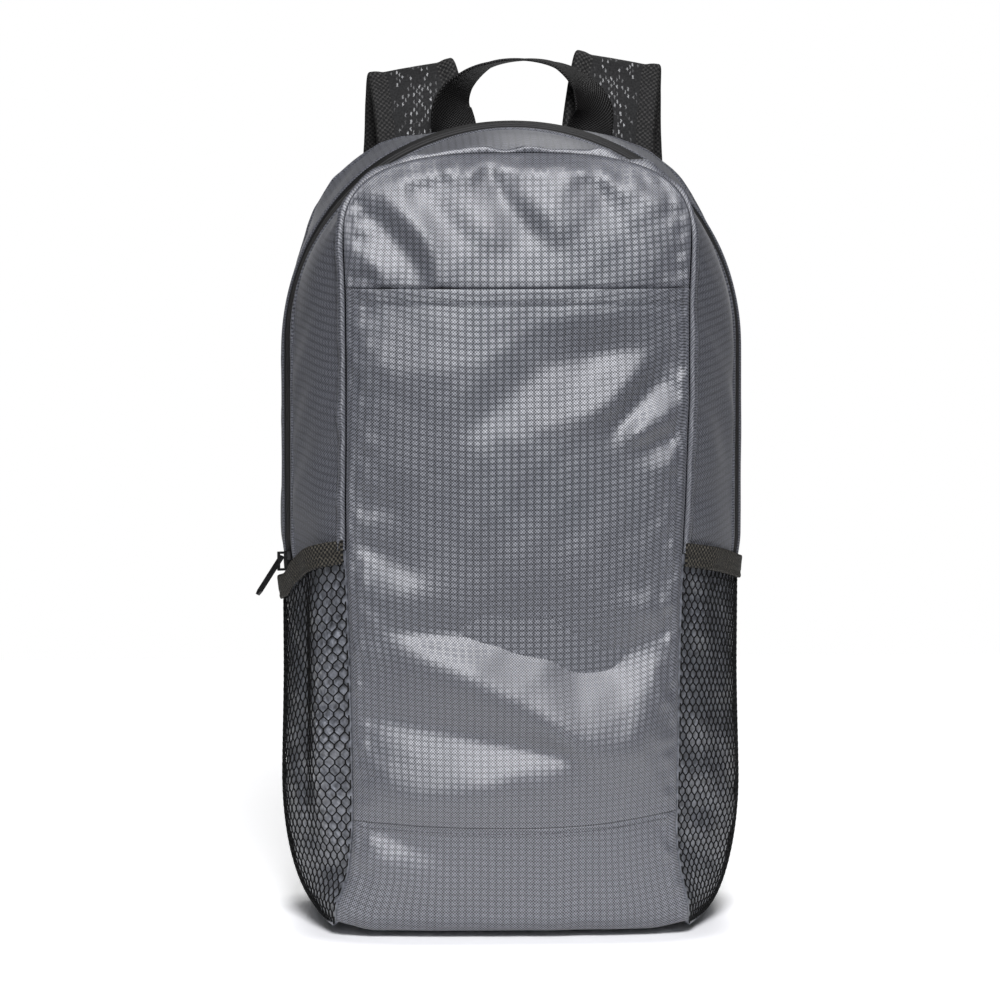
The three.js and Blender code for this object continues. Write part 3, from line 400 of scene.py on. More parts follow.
# Crests and hollows of the folds as lines of (x, z, height) on the front face. Between them the
# cloth is drawn flat, and all of them die out at the seams.
FOLDS = {
    "panel": {
        "crest of the long left fold": [
            (-81, 407, 0.8), (-66, 397, 3), (-53, 384, 4.2), (-45, 370, 4.2), (-42, 353, 3.5),
        ],
        "hollow beside it": [
            (-89, 399, -1), (-76, 390, -3), (-64, 378, -3.5), (-55, 366, -2.2), (-51, 356, -0.6),
        ],
        "crest of the short left fold": [(-88, 372, 1), (-78, 365, 2.5), (-69, 354, 2.5)],
        "hollow under it": [(-92, 365, -1), (-85, 360, -1.5), (-80, 356, -0.6)],
        "crest of the middle fold": [(-4, 421, 0.4), (1, 408, 2.3), (13, 394, 2.7), (27, 380, 0.7)],
        "hollow beside the middle fold": [
            (-14, 418, -0.5), (-10, 404, -2.5), (3, 386, -2.5), (20, 374, -0.5),
        ],
        "crest of the soft fold": [(-47, 417, 0.3), (-34, 405, 0.9), (-21, 391, 0.9), (-10, 376, 0.2)],
        "hollow beside the soft fold": [(-59, 414, 0), (-48, 399, -0.6), (-34, 384, -0.6), (-17, 371, 0)],
        "roll under the top seam": [
            (-80, 404, 1.5), (-55, 413, 3.5), (-25, 417, 4.8), (18, 418, 4.8), (45, 413, 4),
            (78, 398, 2),
        ],
        "crest of the right ripple": [(50, 411, 3.8), (58, 402, 2), (68, 384, 0.5)],
        "hollow beside the right ripple": [(38, 412, 0), (49, 396, -1.2), (61, 381, 0)],
    },
    "pocket": {
        "roll under the mouth, left": [
            (-89, 317, 1.5), (-74, 310, 4), (-53, 307, 4), (-28, 312, 3.5), (-7, 323, 2),
        ],
        "roll under the mouth, right": [(85, 345, 1), (64, 342, 3.5), (34, 339, 4), (10, 334, 2.5)],
        "hollow of the upper right streak": [
            (64, 321, -2), (42, 319, -3), (20, 313, -3), (-1, 298, -2), (-23, 280, -0.5),
        ],
        "crest of the upper right streak": [
            (70, 317, 0), (61, 304, 2.5), (50, 289, 3.8), (28, 282, 3), (7, 277, 1.5),
            (-20, 269, 0.8), (-36, 264, 0.2),
        ],
        "dark hollow beside it": [(89, 321, -1), (73, 302, -5), (58, 286, -4), (49, 274, -1.5)],
        "crest of the middle right gather": [(91, 297, 0), (78, 282, 3.5), (60, 273, 4.5)],
        "hollow under it": [(91, 282, 0), (78, 272, -3.5), (68, 265, -2.5)],
        "crest of the lower right gather": [(92, 270, 0), (85, 262, 2.5), (73, 257, 3)],
        "hollow of the left nick": [(-91, 237, -1.5), (-74, 236, -5), (-62, 234, -4)],
        "crest of the left nick": [(-91, 230, -0.3), (-77, 228, -3), (-65, 230, -4)],
        "hollow of the left patch": [(-89, 218, -2), (-72, 211, -6), (-53, 199, -4.5)],
        "crest of the left patch": [(-90, 201, 0.5), (-78, 191, 1.5), (-61, 187, 0.5), (-47, 189, -2.5)],
        "hollow of the right crease": [(58, 188, -0.5), (73, 190, -2.5), (87, 191, -0.5)],
        "crest of the right crease": [(61, 184, 1), (74, 181, 3), (86, 183, 1)],
        "hollow over the great fold": [
            (-68, 167, -2.5), (-47, 165, -6), (-23, 166, -8), (12, 156, -9), (45, 147, -9),
            (66, 159, -6.5), (86, 173, -1.5),
        ],
        "crest of the great fold": [
            (-68, 163, 0), (-45, 151, 4), (-20, 139, 5.5), (7, 125, 7.5), (28, 110, 10),
            (50, 102, 10.5), (66, 106, 10), (75, 121, 6), (85, 151, 1),
        ],
        "hollow over the second fold": [
            (-89, 122, -2), (-61, 118, -5.5), (-20, 110, -5), (12, 104, -2.5), (27, 101, 0),
        ],
        "crest of the second fold": [
            (-86, 96, 1.5), (-72, 81, 5.5), (-53, 76, 7), (-26, 82, 7), (1, 87, 6), (20, 93, 4),
            (31, 97, 3),
        ],
        "crest of the strip's corner": [
            (-92, 50, 3), (-86, 46.5, 4.5), (-74, 42, 4.5), (-58, 39.5, 2.5), (-46, 38, 0.5),
        ],
        "hollow over the strip's corner": [
            (-90, 62, -0.5), (-80, 60, -2), (-69, 57, -2.5), (-58, 51, -1.5), (-48, 44.5, -0.3),
        ],
        "crest of the strip's right corner": [(62, 55, 0.5), (76, 50, 2), (88, 49, 1)],
        "hollow over the strip's right corner": [(60, 61, 0), (74, 60, -1), (86, 62, -0.4)],
        "crease low in the strip": [(-26, 25, 0), (-14, 18, -1), (-4, 11, 0)],
        "crest low at the strip's right": [(72, 24, 0), (83, 31, 1.5), (92, 38, 0.5)],
    },
}
FOLD_STEP = 2.0
FOLD_HELD = dict(side=0.985, top=2)
FOLD_OPEN = dict(panel=24, base=2, pocket=30)
FOLD_DRAW = dict(passes=350, over=1.93)
FOLD_SOFT = 3
CREST_SOFT = dict(passes=7, full=180, end=235)
FOLD_HALF = 102.0
FOLD_TOP = 440.0


def softened(height, passes):
    for _ in range(passes):
        for axis in (0, 1):
            height = (np.roll(height, 1, axis) + 2 * height + np.roll(height, -1, axis)) / 4
    return height


def stretched(lines, open_low, open_high):
    """Heights of cloth drawn tight over its creases and held at the seams, with round lower crests."""
    x = np.arange(-FOLD_HALF, FOLD_HALF + 1, FOLD_STEP)[:, None]
    z = np.arange(0, FOLD_TOP + 1, FOLD_STEP)[None, :]
    u = np.clip(x / front_half(z), -1, 1)
    held = (np.abs(u) > FOLD_HELD["side"]) | (z > front_top(u) - FOLD_HELD["top"])
    held |= (z < open_low) | (z > open_high)
    held |= np.abs(z - base_seam(u)) < FOLD_STEP / 2
    height, weight = np.zeros(held.shape), np.zeros(held.shape)
    for line in lines.values():
        line = np.array(line, float)
        length = np.hypot(*np.diff(line[:, :2], axis=0).T)
        run = np.concatenate([[0], np.cumsum(length)])
        places = np.arange(0, run[-1], FOLD_STEP / 2)
        px, pz, ph = (np.interp(places, run, line[:, i]) for i in range(3))
        cell = np.rint((px + FOLD_HALF) / FOLD_STEP).astype(int), np.rint(pz / FOLD_STEP).astype(int)
        np.add.at(height, cell, ph)
        np.add.at(weight, cell, 1)
    height = np.where(held, 0, height / np.maximum(weight, 1))
    held |= weight > 0
    odd = (np.indices(held.shape).sum(0) % 2).astype(bool)
    for _ in range(FOLD_DRAW["passes"]):
        for turn in (odd, ~odd):
            mean = sum(np.roll(height, step, axis) for step in (1, -1) for axis in (0, 1)) / 4
            height = np.where(turn & ~held, height + FOLD_DRAW["over"] * (mean - height), height)
    height = softened(height, FOLD_SOFT)
    crests = np.minimum(height, softened(height, CREST_SOFT["passes"]))
    return softened(mix(crests, height, smooth(z, CREST_SOFT["full"], CREST_SOFT["end"])), 1)


def read_height(height, x, z):
    """Height at any place, through a smooth spline over the grid."""
    total = np.zeros(np.broadcast(x, z).shape)
    at_x, at_z = (x + FOLD_HALF) / FOLD_STEP, z / FOLD_STEP
    low_x, low_z = np.floor(at_x).astype(int), np.floor(at_z).astype(int)
    weights = []
    for share in (at_x - low_x, at_z - low_z):
        weights.append((
            (1 - share) ** 3 / 6, (3 * share ** 3 - 6 * share ** 2 + 4) / 6,
            (-3 * share ** 3 + 3 * share ** 2 + 3 * share + 1) / 6, share ** 3 / 6,
        ))
    for i in range(4):
        for j in range(4):
            cell = (
                np.clip(low_x + i - 1, 0, height.shape[0] - 1), np.clip(low_z + j - 1, 0, height.shape[1] - 1)
            )
            total += weights[0][i] * weights[1][j] * height[cell]
    return total


def front_top(u):
    hoop = HOOPS["front"]
    power = hoop["arch_power"]
    return mix(hoop["spring"], hoop["top"], (1 - np.abs(u) ** power) ** (1 / power))


def base_seam(u):
    return mix(BASE_SEAM["middle"], np.where(u < 0, BASE_SEAM["left"], BASE_SEAM["right"]), u * u)


fold_heights = {
    "panel": stretched(FOLDS["panel"], POCKET_MOUTH - FOLD_OPEN["panel"], FOLD_TOP),
    "pocket": stretched(FOLDS["pocket"], FOLD_OPEN["base"], POCKET_MOUTH + FOLD_OPEN["pocket"]),
}


def waves(x, y, pitch, seed, count=14):
    """Even, seeded unevenness of about unit size and the given pitch, in millimetres."""
    draw = np.random.default_rng(seed)
    angle = draw.uniform(0, 2 * math.pi, count)
    turns = 2 * math.pi / (pitch * draw.uniform(0.7, 1.5, count))
    phase = draw.uniform(0, 2 * math.pi, count)
    total = sum(
        np.cos(k * (np.cos(a) * x + np.sin(a) * y) + p) for k, a, p in zip(turns, angle, phase)
    )
    return total * math.sqrt(2 / count)


def front_point(u, z, lift=0.0, piece="pocket", folded=1.0):
    """Outer point of the front face at a share u of its half width."""
    u, z = np.broadcast_arrays(np.asarray(u, float), np.asarray(z, float))
    x = u * front_half(z)
    way = np.clip(z / front_top(u), 0, 1)
    pillow = (1 - u * u) ** PILLOW["across"] * np.sin(math.pi * mix(PILLOW["foot"], 1, way)) ** PILLOW["up"]
    from_side = (1 - np.abs(u)) * HOOPS["front"]["half_width"]
    from_top = np.clip(front_top(u) - z, 0, None)
    free = smooth(from_side, 0, SEAM_HOLD["side"]) * smooth(from_top, 0, SEAM_HOLD["top"])
    pucker = waves(x, z, PUCKER["pitch"], PUCKER["side_seed"]) * np.exp(-from_side / PUCKER["reach"])
    pucker += waves(x, z, PUCKER["pitch"], PUCKER["top_seed"]) * np.exp(-from_top / PUCKER["reach"])
    rumple = sum(rise * waves(x, z, pitch, seed) for rise, pitch, seed in RUMPLES)
    uneven = (PUCKER["rise"] * pucker + rumple) * free
    relief = read_height(fold_heights[piece], x, z) + uneven
    if piece == "panel":
        mouth = read_height(fold_heights["pocket"], x, np.minimum(z, POCKET_MOUTH)) + uneven
        above = np.clip(z - POCKET_MOUTH, 0, None)
        relief = np.minimum(relief, mouth + MOUTH_TUCK["slope"] * above)
        relief -= MOUTH_TUCK["depth"] * np.exp(-above / MOUTH_TUCK["reach"])
    relief = mix(-POCKET_SINK * free, relief, folded)
    drop = EDGE_DROP * np.exp(-np.minimum(from_side, from_top) ** 2)
    y = hoop_depth(HOOPS["front"], z) - FRONT_BULGE * pillow - relief - lift + drop
    return np.stack([x, y, z], -1)


front_edge = 1 - GAP / HOOPS["front"]["half_width"]


def close_at_ends(count, share=0.55):
    """Places from -1 to 1 that lie closer together at the ends."""
    even = np.linspace(-1, 1, count)
    return mix(even, np.sin(even * math.pi / 2), share)


front_columns = front_edge * close_at_ends(151)

mouth_share = np.concatenate([np.linspace(0, 0.97, 10)[:-1], 0.97 + 0.03 * np.linspace(0, 1, 4)[:-1]])
over_share = (close_at_ends(64)[None, :] + 1) / 2
panel_foot = base_seam(front_columns)[:, None] + GAP
panel_mouth = np.minimum(POCKET_MOUTH, front_top(front_columns) - PANEL_SLIP["foot"])[:, None]
panel_top = front_top(front_columns)[:, None] - GAP
panel_z = np.concatenate([
    mix(panel_foot, panel_mouth, mouth_share[None, :]),
    mix(panel_mouth, panel_top, over_share),
], 1)
panel_folded = smooth(panel_z, POCKET_MOUTH - PANEL_SLIP["foot"], POCKET_MOUTH - PANEL_SLIP["full"])
panel_grid = front_point(front_columns[:, None], panel_z, 0.0, "panel", panel_folded)
wall("front_panel_cloth", panel_grid, cloth, ["front_panel"])

pocket_share = (close_at_ends(231, 0.35)[None, :] + 1) / 2
pocket_z = mix(base_seam(front_columns)[:, None] + SEAM_GAP, POCKET_MOUTH, pocket_share)
hem_foot = POCKET_MOUTH - HEM["height"]
hem = smooth(pocket_z, hem_foot - HEM["step"], hem_foot) * HEM["rise"]
hem += HEM["turn"] * np.clip(pocket_z - POCKET_MOUTH + HEM["height"], 0, None)
hem_round = HEM["soft"] * np.exp(-((POCKET_MOUTH - pocket_z) / HEM["soft_reach"]) ** 2)
foot_drop = SEAM_DROP * np.exp(-(pocket_z - base_seam(front_columns)[:, None]) ** 2)
pocket_grid = front_point(front_columns[:, None], pocket_z, POCKET_STEP + hem - hem_round - foot_drop)
wall("front_pocket_cloth", pocket_grid, cloth, ["front_pocket"])

STITCH = dict(long=2.5, gap=0.8, radius=0.3)
# Twisted polyester sewing thread: dull dashes, a shade darker than the cloth.
dark_thread, _, _ = new_material(
    "dark polyester thread", Base_Color=linear("#3c3d42"), Roughness=0.6, IOR=1.57
)


def stitches(name, path, out, material):
    """A row of lockstitches along a path, each a short thread that dips in at both ends."""
    run = np.concatenate([[0], np.cumsum(np.linalg.norm(np.diff(path, axis=0), axis=-1))])
    starts = np.arange(STITCH["gap"], run[-1] - STITCH["long"], STITCH["long"] + STITCH["gap"])
    share = np.array([0, 0.16, 0.5, 0.84, 1])
    dip = np.array([-0.8, 0.3, 0.7, 0.3, -0.8]) * STITCH["radius"]
    girth = np.array([0.5, 0.95, 1, 0.95, 0.5]) * STITCH["radius"]
    places = starts[:, None] + share[None, :] * STITCH["long"]
    at = np.stack([np.interp(places, run, path[:, i]) for i in range(3)], -1)
    above = unit(np.stack([np.interp(places, run, out[:, i]) for i in range(3)], -1))
    beside = unit(np.cross(np.gradient(at, axis=1), above))
    turn = np.arange(5) / 5 * 2 * math.pi
    ring = np.cos(turn)[:, None] * beside[..., None, :] + np.sin(turn)[:, None] * above[..., None, :]
    points = (at + above * dip[:, None])[..., None, :] + ring * girth[None, :, None, None]
    index = np.arange(points.size // 3).reshape(points.shape[:3])
    nxt = np.roll(index, -1, axis=2)
    quads = np.stack([index[:, :-1], nxt[:, :-1], nxt[:, 1:], index[:, 1:]], -1).reshape(-1, 4)
    caps = np.concatenate([index[:, 0, ::-1], index[:, -1]])
    return build(name, points.reshape(-1, 3), quads.tolist() + caps.tolist(), material)


seam_columns = np.linspace(-0.97, 0.97, 240)[:, None]
stitch_rows = np.array([[-0.5, 0, 0.5]])
hem_line = front_point(seam_columns, hem_foot + HEM["stitch"] + stitch_rows, POCKET_STEP + HEM["rise"])
stitches("hem_stitches", hem_line[:, 1], grid_normals(hem_line)[:, 1], dark_thread)


def crossing_at(y, front, back):
    """Place t across the gusset where it lies at depth y, between its front and back depths."""
    curve, slope = (front + back) / 2, (back - front) / 2
    return (np.sqrt(slope * slope + 4 * curve * y) - slope) / (2 * curve)


def base_point(u, row):
    """The base from the back (row 0), curling up at the front (row 1) to the lower seam (row 2)."""
    u, row = np.broadcast_arrays(np.asarray(u, float), np.asarray(row, float))
    front, back = HOOPS["front"], HOOPS["back"]
    climb = np.clip(row - 1, 0, 1)
    curl_z = front["foot_round"] * (1 - np.cos(np.clip(climb, 0, 0.5) * math.pi))
    wall_z = mix(front["foot_round"], base_seam(u) - SEAM_GAP, np.clip(climb * 2 - 1, 0, 1))
    z = np.where(climb < 0.5, curl_z, wall_z)
    top_drop = SEAM_DROP * np.exp(-((base_seam(u) - z) / 1.2) ** 2)
    lifted = FOOT_LIFT["height"] * (1 - smooth(z, 0, front["foot_round"]))
    tucked = FOOT_TUCK * (hoop_depth(front, z) - front["depth"])
    strip = front_point(u, np.maximum(z, 1e-6), POCKET_STEP - top_drop)
    strip[..., 1] -= tucked
    strip[..., 2] = z + lifted
    front_end = front_point(u, np.full_like(u, 1e-6), POCKET_STEP)[..., 1] - FOOT_TUCK * front["foot_round"]
    back_end = back["depth"] - back["foot_round"]
    angle = (1 - np.clip(row / HEEL_ROW, 0, 1)) * math.pi / 2
    heel_y = back_end + (back["foot_round"] - GAP) * np.sin(angle)
    floor_y = mix(back_end, front_end, np.clip((row - HEEL_ROW) / (1 - HEEL_ROW), 0, 1))
    weights = across(np.clip(crossing_at(floor_y, hoop_depth(front, 0.0), back_end), -1, 1))
    half = sum(w * h["base_half"] for w, h in zip(weights, HOOPS.values()))
    heel = np.stack([u * back["base_half"], heel_y, back["foot_round"] * (1 - np.cos(angle))], -1)
    floor_z = FOOT_LIFT["height"] * smooth(-floor_y, FOOT_LIFT["start"], FOOT_LIFT["full"])
    floor = np.stack([u * half, floor_y, floor_z], -1)
    return np.where((row >= 1)[..., None], strip, np.where((row < HEEL_ROW)[..., None], heel, floor))


base_rows = np.concatenate([
    np.linspace(0, HEEL_ROW, 7)[:-1], np.linspace(HEEL_ROW, 1, 13)[:-1],
    np.linspace(1, 1.5, 14)[:-1], np.linspace(1.5, 2, 40),
])
base_grid = base_point(front_columns[:, None], base_rows[None, :])
wall("base_cloth", base_grid, cloth, ["base_panel"])
seam_z = base_seam(seam_columns) - BASE_SEAM["stitch"] + stitch_rows
seam_line = front_point(seam_columns, seam_z, POCKET_STEP)
stitches("base_stitches", seam_line[:, 1], grid_normals(seam_line)[:, 1], dark_thread)


# Gussets and back
# The arch of cloth between the front seam and the back seam is parted by the zip. A piped ridge
# runs along the front seam, and the edges along the zip are turned over.
SAG_REACH = 45
HALF_DEPTH = (HOOPS["back"]["depth"] - HOOPS["front"]["depth"]) / 2
ZIP_HALF = 5.5
ZIP_TILT = dict(rise=2.4, foot=0.25, reach=34)
POCKET_PULL = dict(depth=2.2, foot=60, full=150, band=192, end=214)
MITRE = dict(front=0.4, back=2.5)
BAND_TOP = dict(left=(217.5, 193.5, 188), right=(215, 203, 197))
BAND_ARC = dict(left=5.5, right=1.0)
SIDE_SPLIT = 6
BACK_FULL = 4
BACK_RUMPLE = dict(rise=0.6, pitch=55)
RIDGE = dict(rise=2.6, width=4.2, pitch=19, uneven=0.1, bunched=0.3, back_share=0.3)
ZIP_LIP = dict(rise=1.0, width=4.2)
ZIP_HOLLOW = dict(depth=1.7, reach=25, half=62, inner=0.3, outer=0.4)
GUSSET_PUCKER = dict(rise=0.4, pitch=13, reach=12)
GUSSET_RUMPLE = dict(rise=0.5, pitch=42)


def rounded(side, end, power):
    """A rounded corner from an upright side to a level end, as shares of its length and points."""
    angle = np.linspace(0, math.pi / 2, 97)
    x = mix(end[0], side[0], np.clip(np.cos(angle), 0, 1) ** (2 / power))
    z = mix(side[1], end[1], np.clip(np.sin(angle), 0, 1) ** (2 / power))
    length = np.concatenate([[0], np.cumsum(np.hypot(np.diff(x), np.diff(z)))])
    return length / length[-1], x, z


for hoop in HOOPS.values():
    upright = hoop["half_width"]
    hoop["corner"] = rounded((upright, hoop["corner_top"]), (hoop["base_half"], 0), hoop["corner_power"])
    hoop["arch"] = rounded((upright, hoop["spring"]), (0, hoop["top"]), hoop["arch_power"])


def sag_at(hoop, x):
    """How far the top of a hoop sags between the shoulder straps."""
    return hoop["sag"] * np.exp(-(x / SAG_REACH) ** 2)


def hoop_point(hoop, station):
    """Right half of a hoop: 0 base centre, 1 base edge, 2 corner top, 3 springing, 4 top."""
    side_z = mix(hoop["corner_top"], hoop["spring"], np.clip(station - 2, 0, 1))
    bands = [station <= 1, station < 2, station <= 3]
    low = np.clip(2 - station, 0, 1)
    high = np.clip(station - 3, 0, 1)
    corner, arch = hoop["corner"], hoop["arch"]
    x = np.select(
        bands,
        [hoop["base_half"] * station, np.interp(low, corner[0], corner[1]), side_half(hoop, side_z)],
        np.interp(high, arch[0], arch[1]),
    )
    z = np.select(
        bands,
        [np.zeros_like(station), np.interp(low, corner[0], corner[2]), side_z],
        np.interp(high, arch[0], arch[2]) - sag_at(hoop, x),
    )
    return np.stack([x, hoop_depth(hoop, z), z], -1)


def fullness(t):
    return np.clip(np.cos(t * math.pi / 2), 0, None) ** 0.8


def gusset_point(station, t):
    """The cloth between the hoops on the right, tilted forward along the zip."""
    station, t = np.broadcast_arrays(np.asarray(station, float), np.asarray(t, float))
    point = sum(w[..., None] * hoop_point(h, station) for w, h in zip(across(t), HOOPS.values()))
    arch = HOOPS["zip"]
    rise = np.clip((point[..., 2] - arch["spring"]) / (arch["top"] - arch["spring"]), 0, 1)
    out = np.stack([point[..., 0] / arch["half_width"], np.zeros_like(rise), rise], -1)
    out /= np.maximum(np.linalg.norm(out, axis=-1, keepdims=True), 1e-9)
    reach = np.exp(-(point[..., 1] / ZIP_TILT["reach"]) ** 2)
    tilt = ZIP_TILT["rise"] * mix(ZIP_TILT["foot"], 1, rise)
    tilt = tilt * np.clip(point[..., 1] / ZIP_HALF, -1, 1) * reach
    point = point + out * (tilt * smooth(station, 2, 3))[..., None]
    pull = smooth(point[..., 2], POCKET_PULL["foot"], POCKET_PULL["full"])
    pull *= 1 - smooth(point[..., 2], POCKET_PULL["band"], POCKET_PULL["end"])
    point[..., 0] -= POCKET_PULL["depth"] * fullness(t) * pull
    return point


def station_at(z, t):
    """Station of the gusset where it reaches a height."""
    z, t = np.broadcast_arrays(np.asarray(z, float), np.asarray(t, float))
    low, high = np.ones_like(z), np.full_like(z, 4.0)
    for _ in range(24):
        middle = (low + high) / 2
        below = gusset_point(middle, t)[..., 2] < z
        low, high = np.where(below, middle, low), np.where(below, high, middle)
    return (low + high) / 2


t_front = -1 - MITRE["front"] / HOOPS["front"]["depth"]
t_back = 1 - MITRE["back"] / HOOPS["back"]["depth"]
t_zip = ZIP_HALF / HALF_DEPTH
zip_gap = 2 * GAP / HALF_DEPTH


def band_top(side, t):
    """Height of a pocket band's upper edge, which arches between the front seam and the zip."""
    level = sum(w * h for w, h in zip(across(t), BAND_TOP[side]))
    return level + BAND_ARC[side] * np.sin(math.pi * np.clip(-t, 0, 1))


def arch_point(k, t):
    """Over the arch from behind the left pocket band (k = -1) to behind the right one (k = 1)."""
    k, t = np.broadcast_arrays(np.asarray(k, float), np.asarray(t, float))
    top = np.where(k < 0, band_top("left", t), band_top("right", t))
    point = gusset_point(mix(4.0, station_at(top - SIDE_SPLIT + GAP, t), np.abs(k)), t)
    point[..., 0] *= np.where(k < 0, -1, 1)
    return point


def lip(distance, rise, width):
    """A turned edge: rounded at the edge, flat, and down again at its width."""
    edge = np.sqrt(np.clip(distance / (0.45 * width), 0, 1))
    return rise * edge * (1 - smooth(distance, width - 1.2, width))


arch_columns = np.linspace(-1, 1, 361)[:, None]
edge_rows = np.array([0, 0.35, 0.8, 1.4, 2.2, 3.0, 3.6, 4.2, 4.8, 5.6, 7.0])
edge_span = edge_rows[-1]
for name, t_low, t_high, stands_for in (
    ("front_gusset_cloth", t_front, -t_zip - zip_gap, "front_gusset"),
    ("back_gusset_cloth", t_zip + zip_gap, t_back, "back_gusset"),
):
    span = (t_high - t_low) * HALF_DEPTH
    inner_rows = np.linspace(edge_span, span - edge_span, 18)[1:-1]
    from_low = np.concatenate([edge_rows, inner_rows, span - edge_rows[::-1]])
    arch_grid = arch_point(arch_columns, (t_low + from_low / HALF_DEPTH)[None, :])
    out = grid_normals(arch_grid)
    to_zip = span - from_low if t_high < 0 else from_low
    to_seam = from_low if t_high < 0 else span - from_low
    along = np.linalg.norm(np.diff(arch_grid[:, 0], axis=0), axis=-1)
    along = np.concatenate([[0], np.cumsum(along)])[:, None]
    bunched = RIDGE["uneven"] + RIDGE["bunched"] * smooth(np.abs(arch_columns), 0.5, 0.3)
    ridge = np.sqrt(np.clip(1 - (2 * to_seam / RIDGE["width"] - 1) ** 2, 0, 1))[None, :]
    ridge = RIDGE["rise"] * ridge * (1 + bunched * waves(along, 0 * along, RIDGE["pitch"], 11))
    puckers = GUSSET_PUCKER["rise"] * waves(along, to_seam[None, :] * 0.5, GUSSET_PUCKER["pitch"], 12)
    puckers = puckers * np.exp(-to_seam / GUSSET_PUCKER["reach"])[None, :]
    rumples = GUSSET_RUMPLE["rise"] * waves(along, to_seam[None, :], GUSSET_RUMPLE["pitch"], 13)
    hold = smooth(to_zip, 1, 9)[None, :] * smooth(to_seam, 0, 4)[None, :]
    turned = lip(to_zip, **ZIP_LIP)[None, :]
    if t_high > 0:
        ridge = RIDGE["back_share"] * ridge
        middle = np.exp(-(arch_grid[..., 0] / ZIP_HOLLOW["half"]) ** 4)
        middle = middle * smooth(arch_columns, -ZIP_HOLLOW["outer"], -ZIP_HOLLOW["inner"])
        middle = middle * (1 - smooth(arch_columns, ZIP_HOLLOW["inner"], ZIP_HOLLOW["outer"]))
        hollow = -ZIP_HOLLOW["depth"] * np.exp(-to_zip / ZIP_HOLLOW["reach"])[None, :]
        turned = mix(turned, hollow, middle)
    arch_grid = arch_grid + out * (ridge + turned + (puckers + rumples) * hold)[..., None]
    wall(name, arch_grid, cloth, [stands_for])


def back_point(u, row):
    """Point of the back at a share u of its half width, from its foot (row 0) to its top (row 1)."""
    hoop = HOOPS["back"]
    x = u * hoop["half_width"]
    beyond = np.clip((np.abs(x) - hoop["base_half"]) / (hoop["half_width"] - hoop["base_half"]), 0, 1)
    power = hoop["corner_power"]
    foot = hoop["corner_top"] * (1 - (1 - beyond ** power) ** (1 / power))
    over_base = hoop["foot_round"] * (1 - smooth(np.abs(x), hoop["base_half"] - 0.6, hoop["base_half"] + 0.4))
    low = np.maximum(foot, over_base) + 2 * GAP
    power = hoop["arch_power"]
    high = mix(hoop["spring"], hoop["top"], (1 - np.abs(u) ** power) ** (1 / power)) - sag_at(hoop, x) - GAP
    z = mix(low, high, row)
    full = BACK_FULL * (1 - u * u) * np.sin(math.pi * row)
    rumple = BACK_RUMPLE["rise"] * waves(x, z, BACK_RUMPLE["pitch"], 21)
    rumple = rumple * smooth(1 - np.abs(u), 0, 0.1) * smooth(row * (1 - row), 0, 0.06)
    return np.stack(np.broadcast_arrays(x, hoop_depth(hoop, z) + full + rumple, z), -1)


back_edge = 1 - GAP / HOOPS["back"]["half_width"]
back_columns = -back_edge * close_at_ends(91, 0.9)[:, None]
back_grid = back_point(back_columns, np.linspace(0, 1, 121)[None, :])
wall("back_panel_cloth", back_grid, cloth, ["back_panel"])


# Zip
# A black nylon coil zip, sewn in with the coil inside, so that only the two woven tapes show,
# meeting along a fine slit. It runs over the arch from band to band.
ZIP_SINK = 0.4
COIL = dict(rise=0.7, inner=1.2, half=2.4, slit=0.9, slit_half=0.35, fine=3)

# Woven nylon: matt and black, with faint cross lines of weft.
tape, tree, shader = new_material("woven nylon tape", Roughness=0.62, IOR=1.53, Specular_IOR_Level=0.45)
place = add_node(tree, "ShaderNodeAttribute", attribute_name="cloth_mm")
weft = {"Vector": place.outputs["Vector"], "Scale": 0.5, "Distortion": 0.4}
weft = add_node(tree, "ShaderNodeTexWave", weft)
tones = {0: weft.outputs["Fac"], 6: linear("#090909"), 7: linear("#161514")}
tone = add_node(tree, "ShaderNodeMix", tones, data_type="RGBA")
tree.links.new(tone.outputs[2], shader.inputs["Base Color"])
bumped = {"Height": weft.outputs["Fac"], "Strength": 0.5, "Distance": 0.15 * MM}
bumped = add_node(tree, "ShaderNodeBump", bumped)
tree.links.new(bumped.outputs[0], shader.inputs["Normal"])

tape_rows = np.concatenate([
    np.linspace(-ZIP_HALF, -COIL["fine"], 4)[:-1],
    np.linspace(-COIL["fine"], COIL["fine"], 25),
    np.linspace(COIL["fine"], ZIP_HALF, 4)[1:],
])
tape_grid = arch_point(arch_columns, (tape_rows / HALF_DEPTH)[None, :])
coil = COIL["rise"] * (1 - smooth(np.abs(tape_rows), COIL["inner"], COIL["half"]))
coil -= COIL["slit"] * np.exp(-(tape_rows / COIL["slit_half"]) ** 2)
tape_grid = tape_grid + grid_normals(tape_grid) * (coil - ZIP_SINK)[None, :, None]
wall("zip_tape_cloth", tape_grid, tape, ["zipper_tape"])


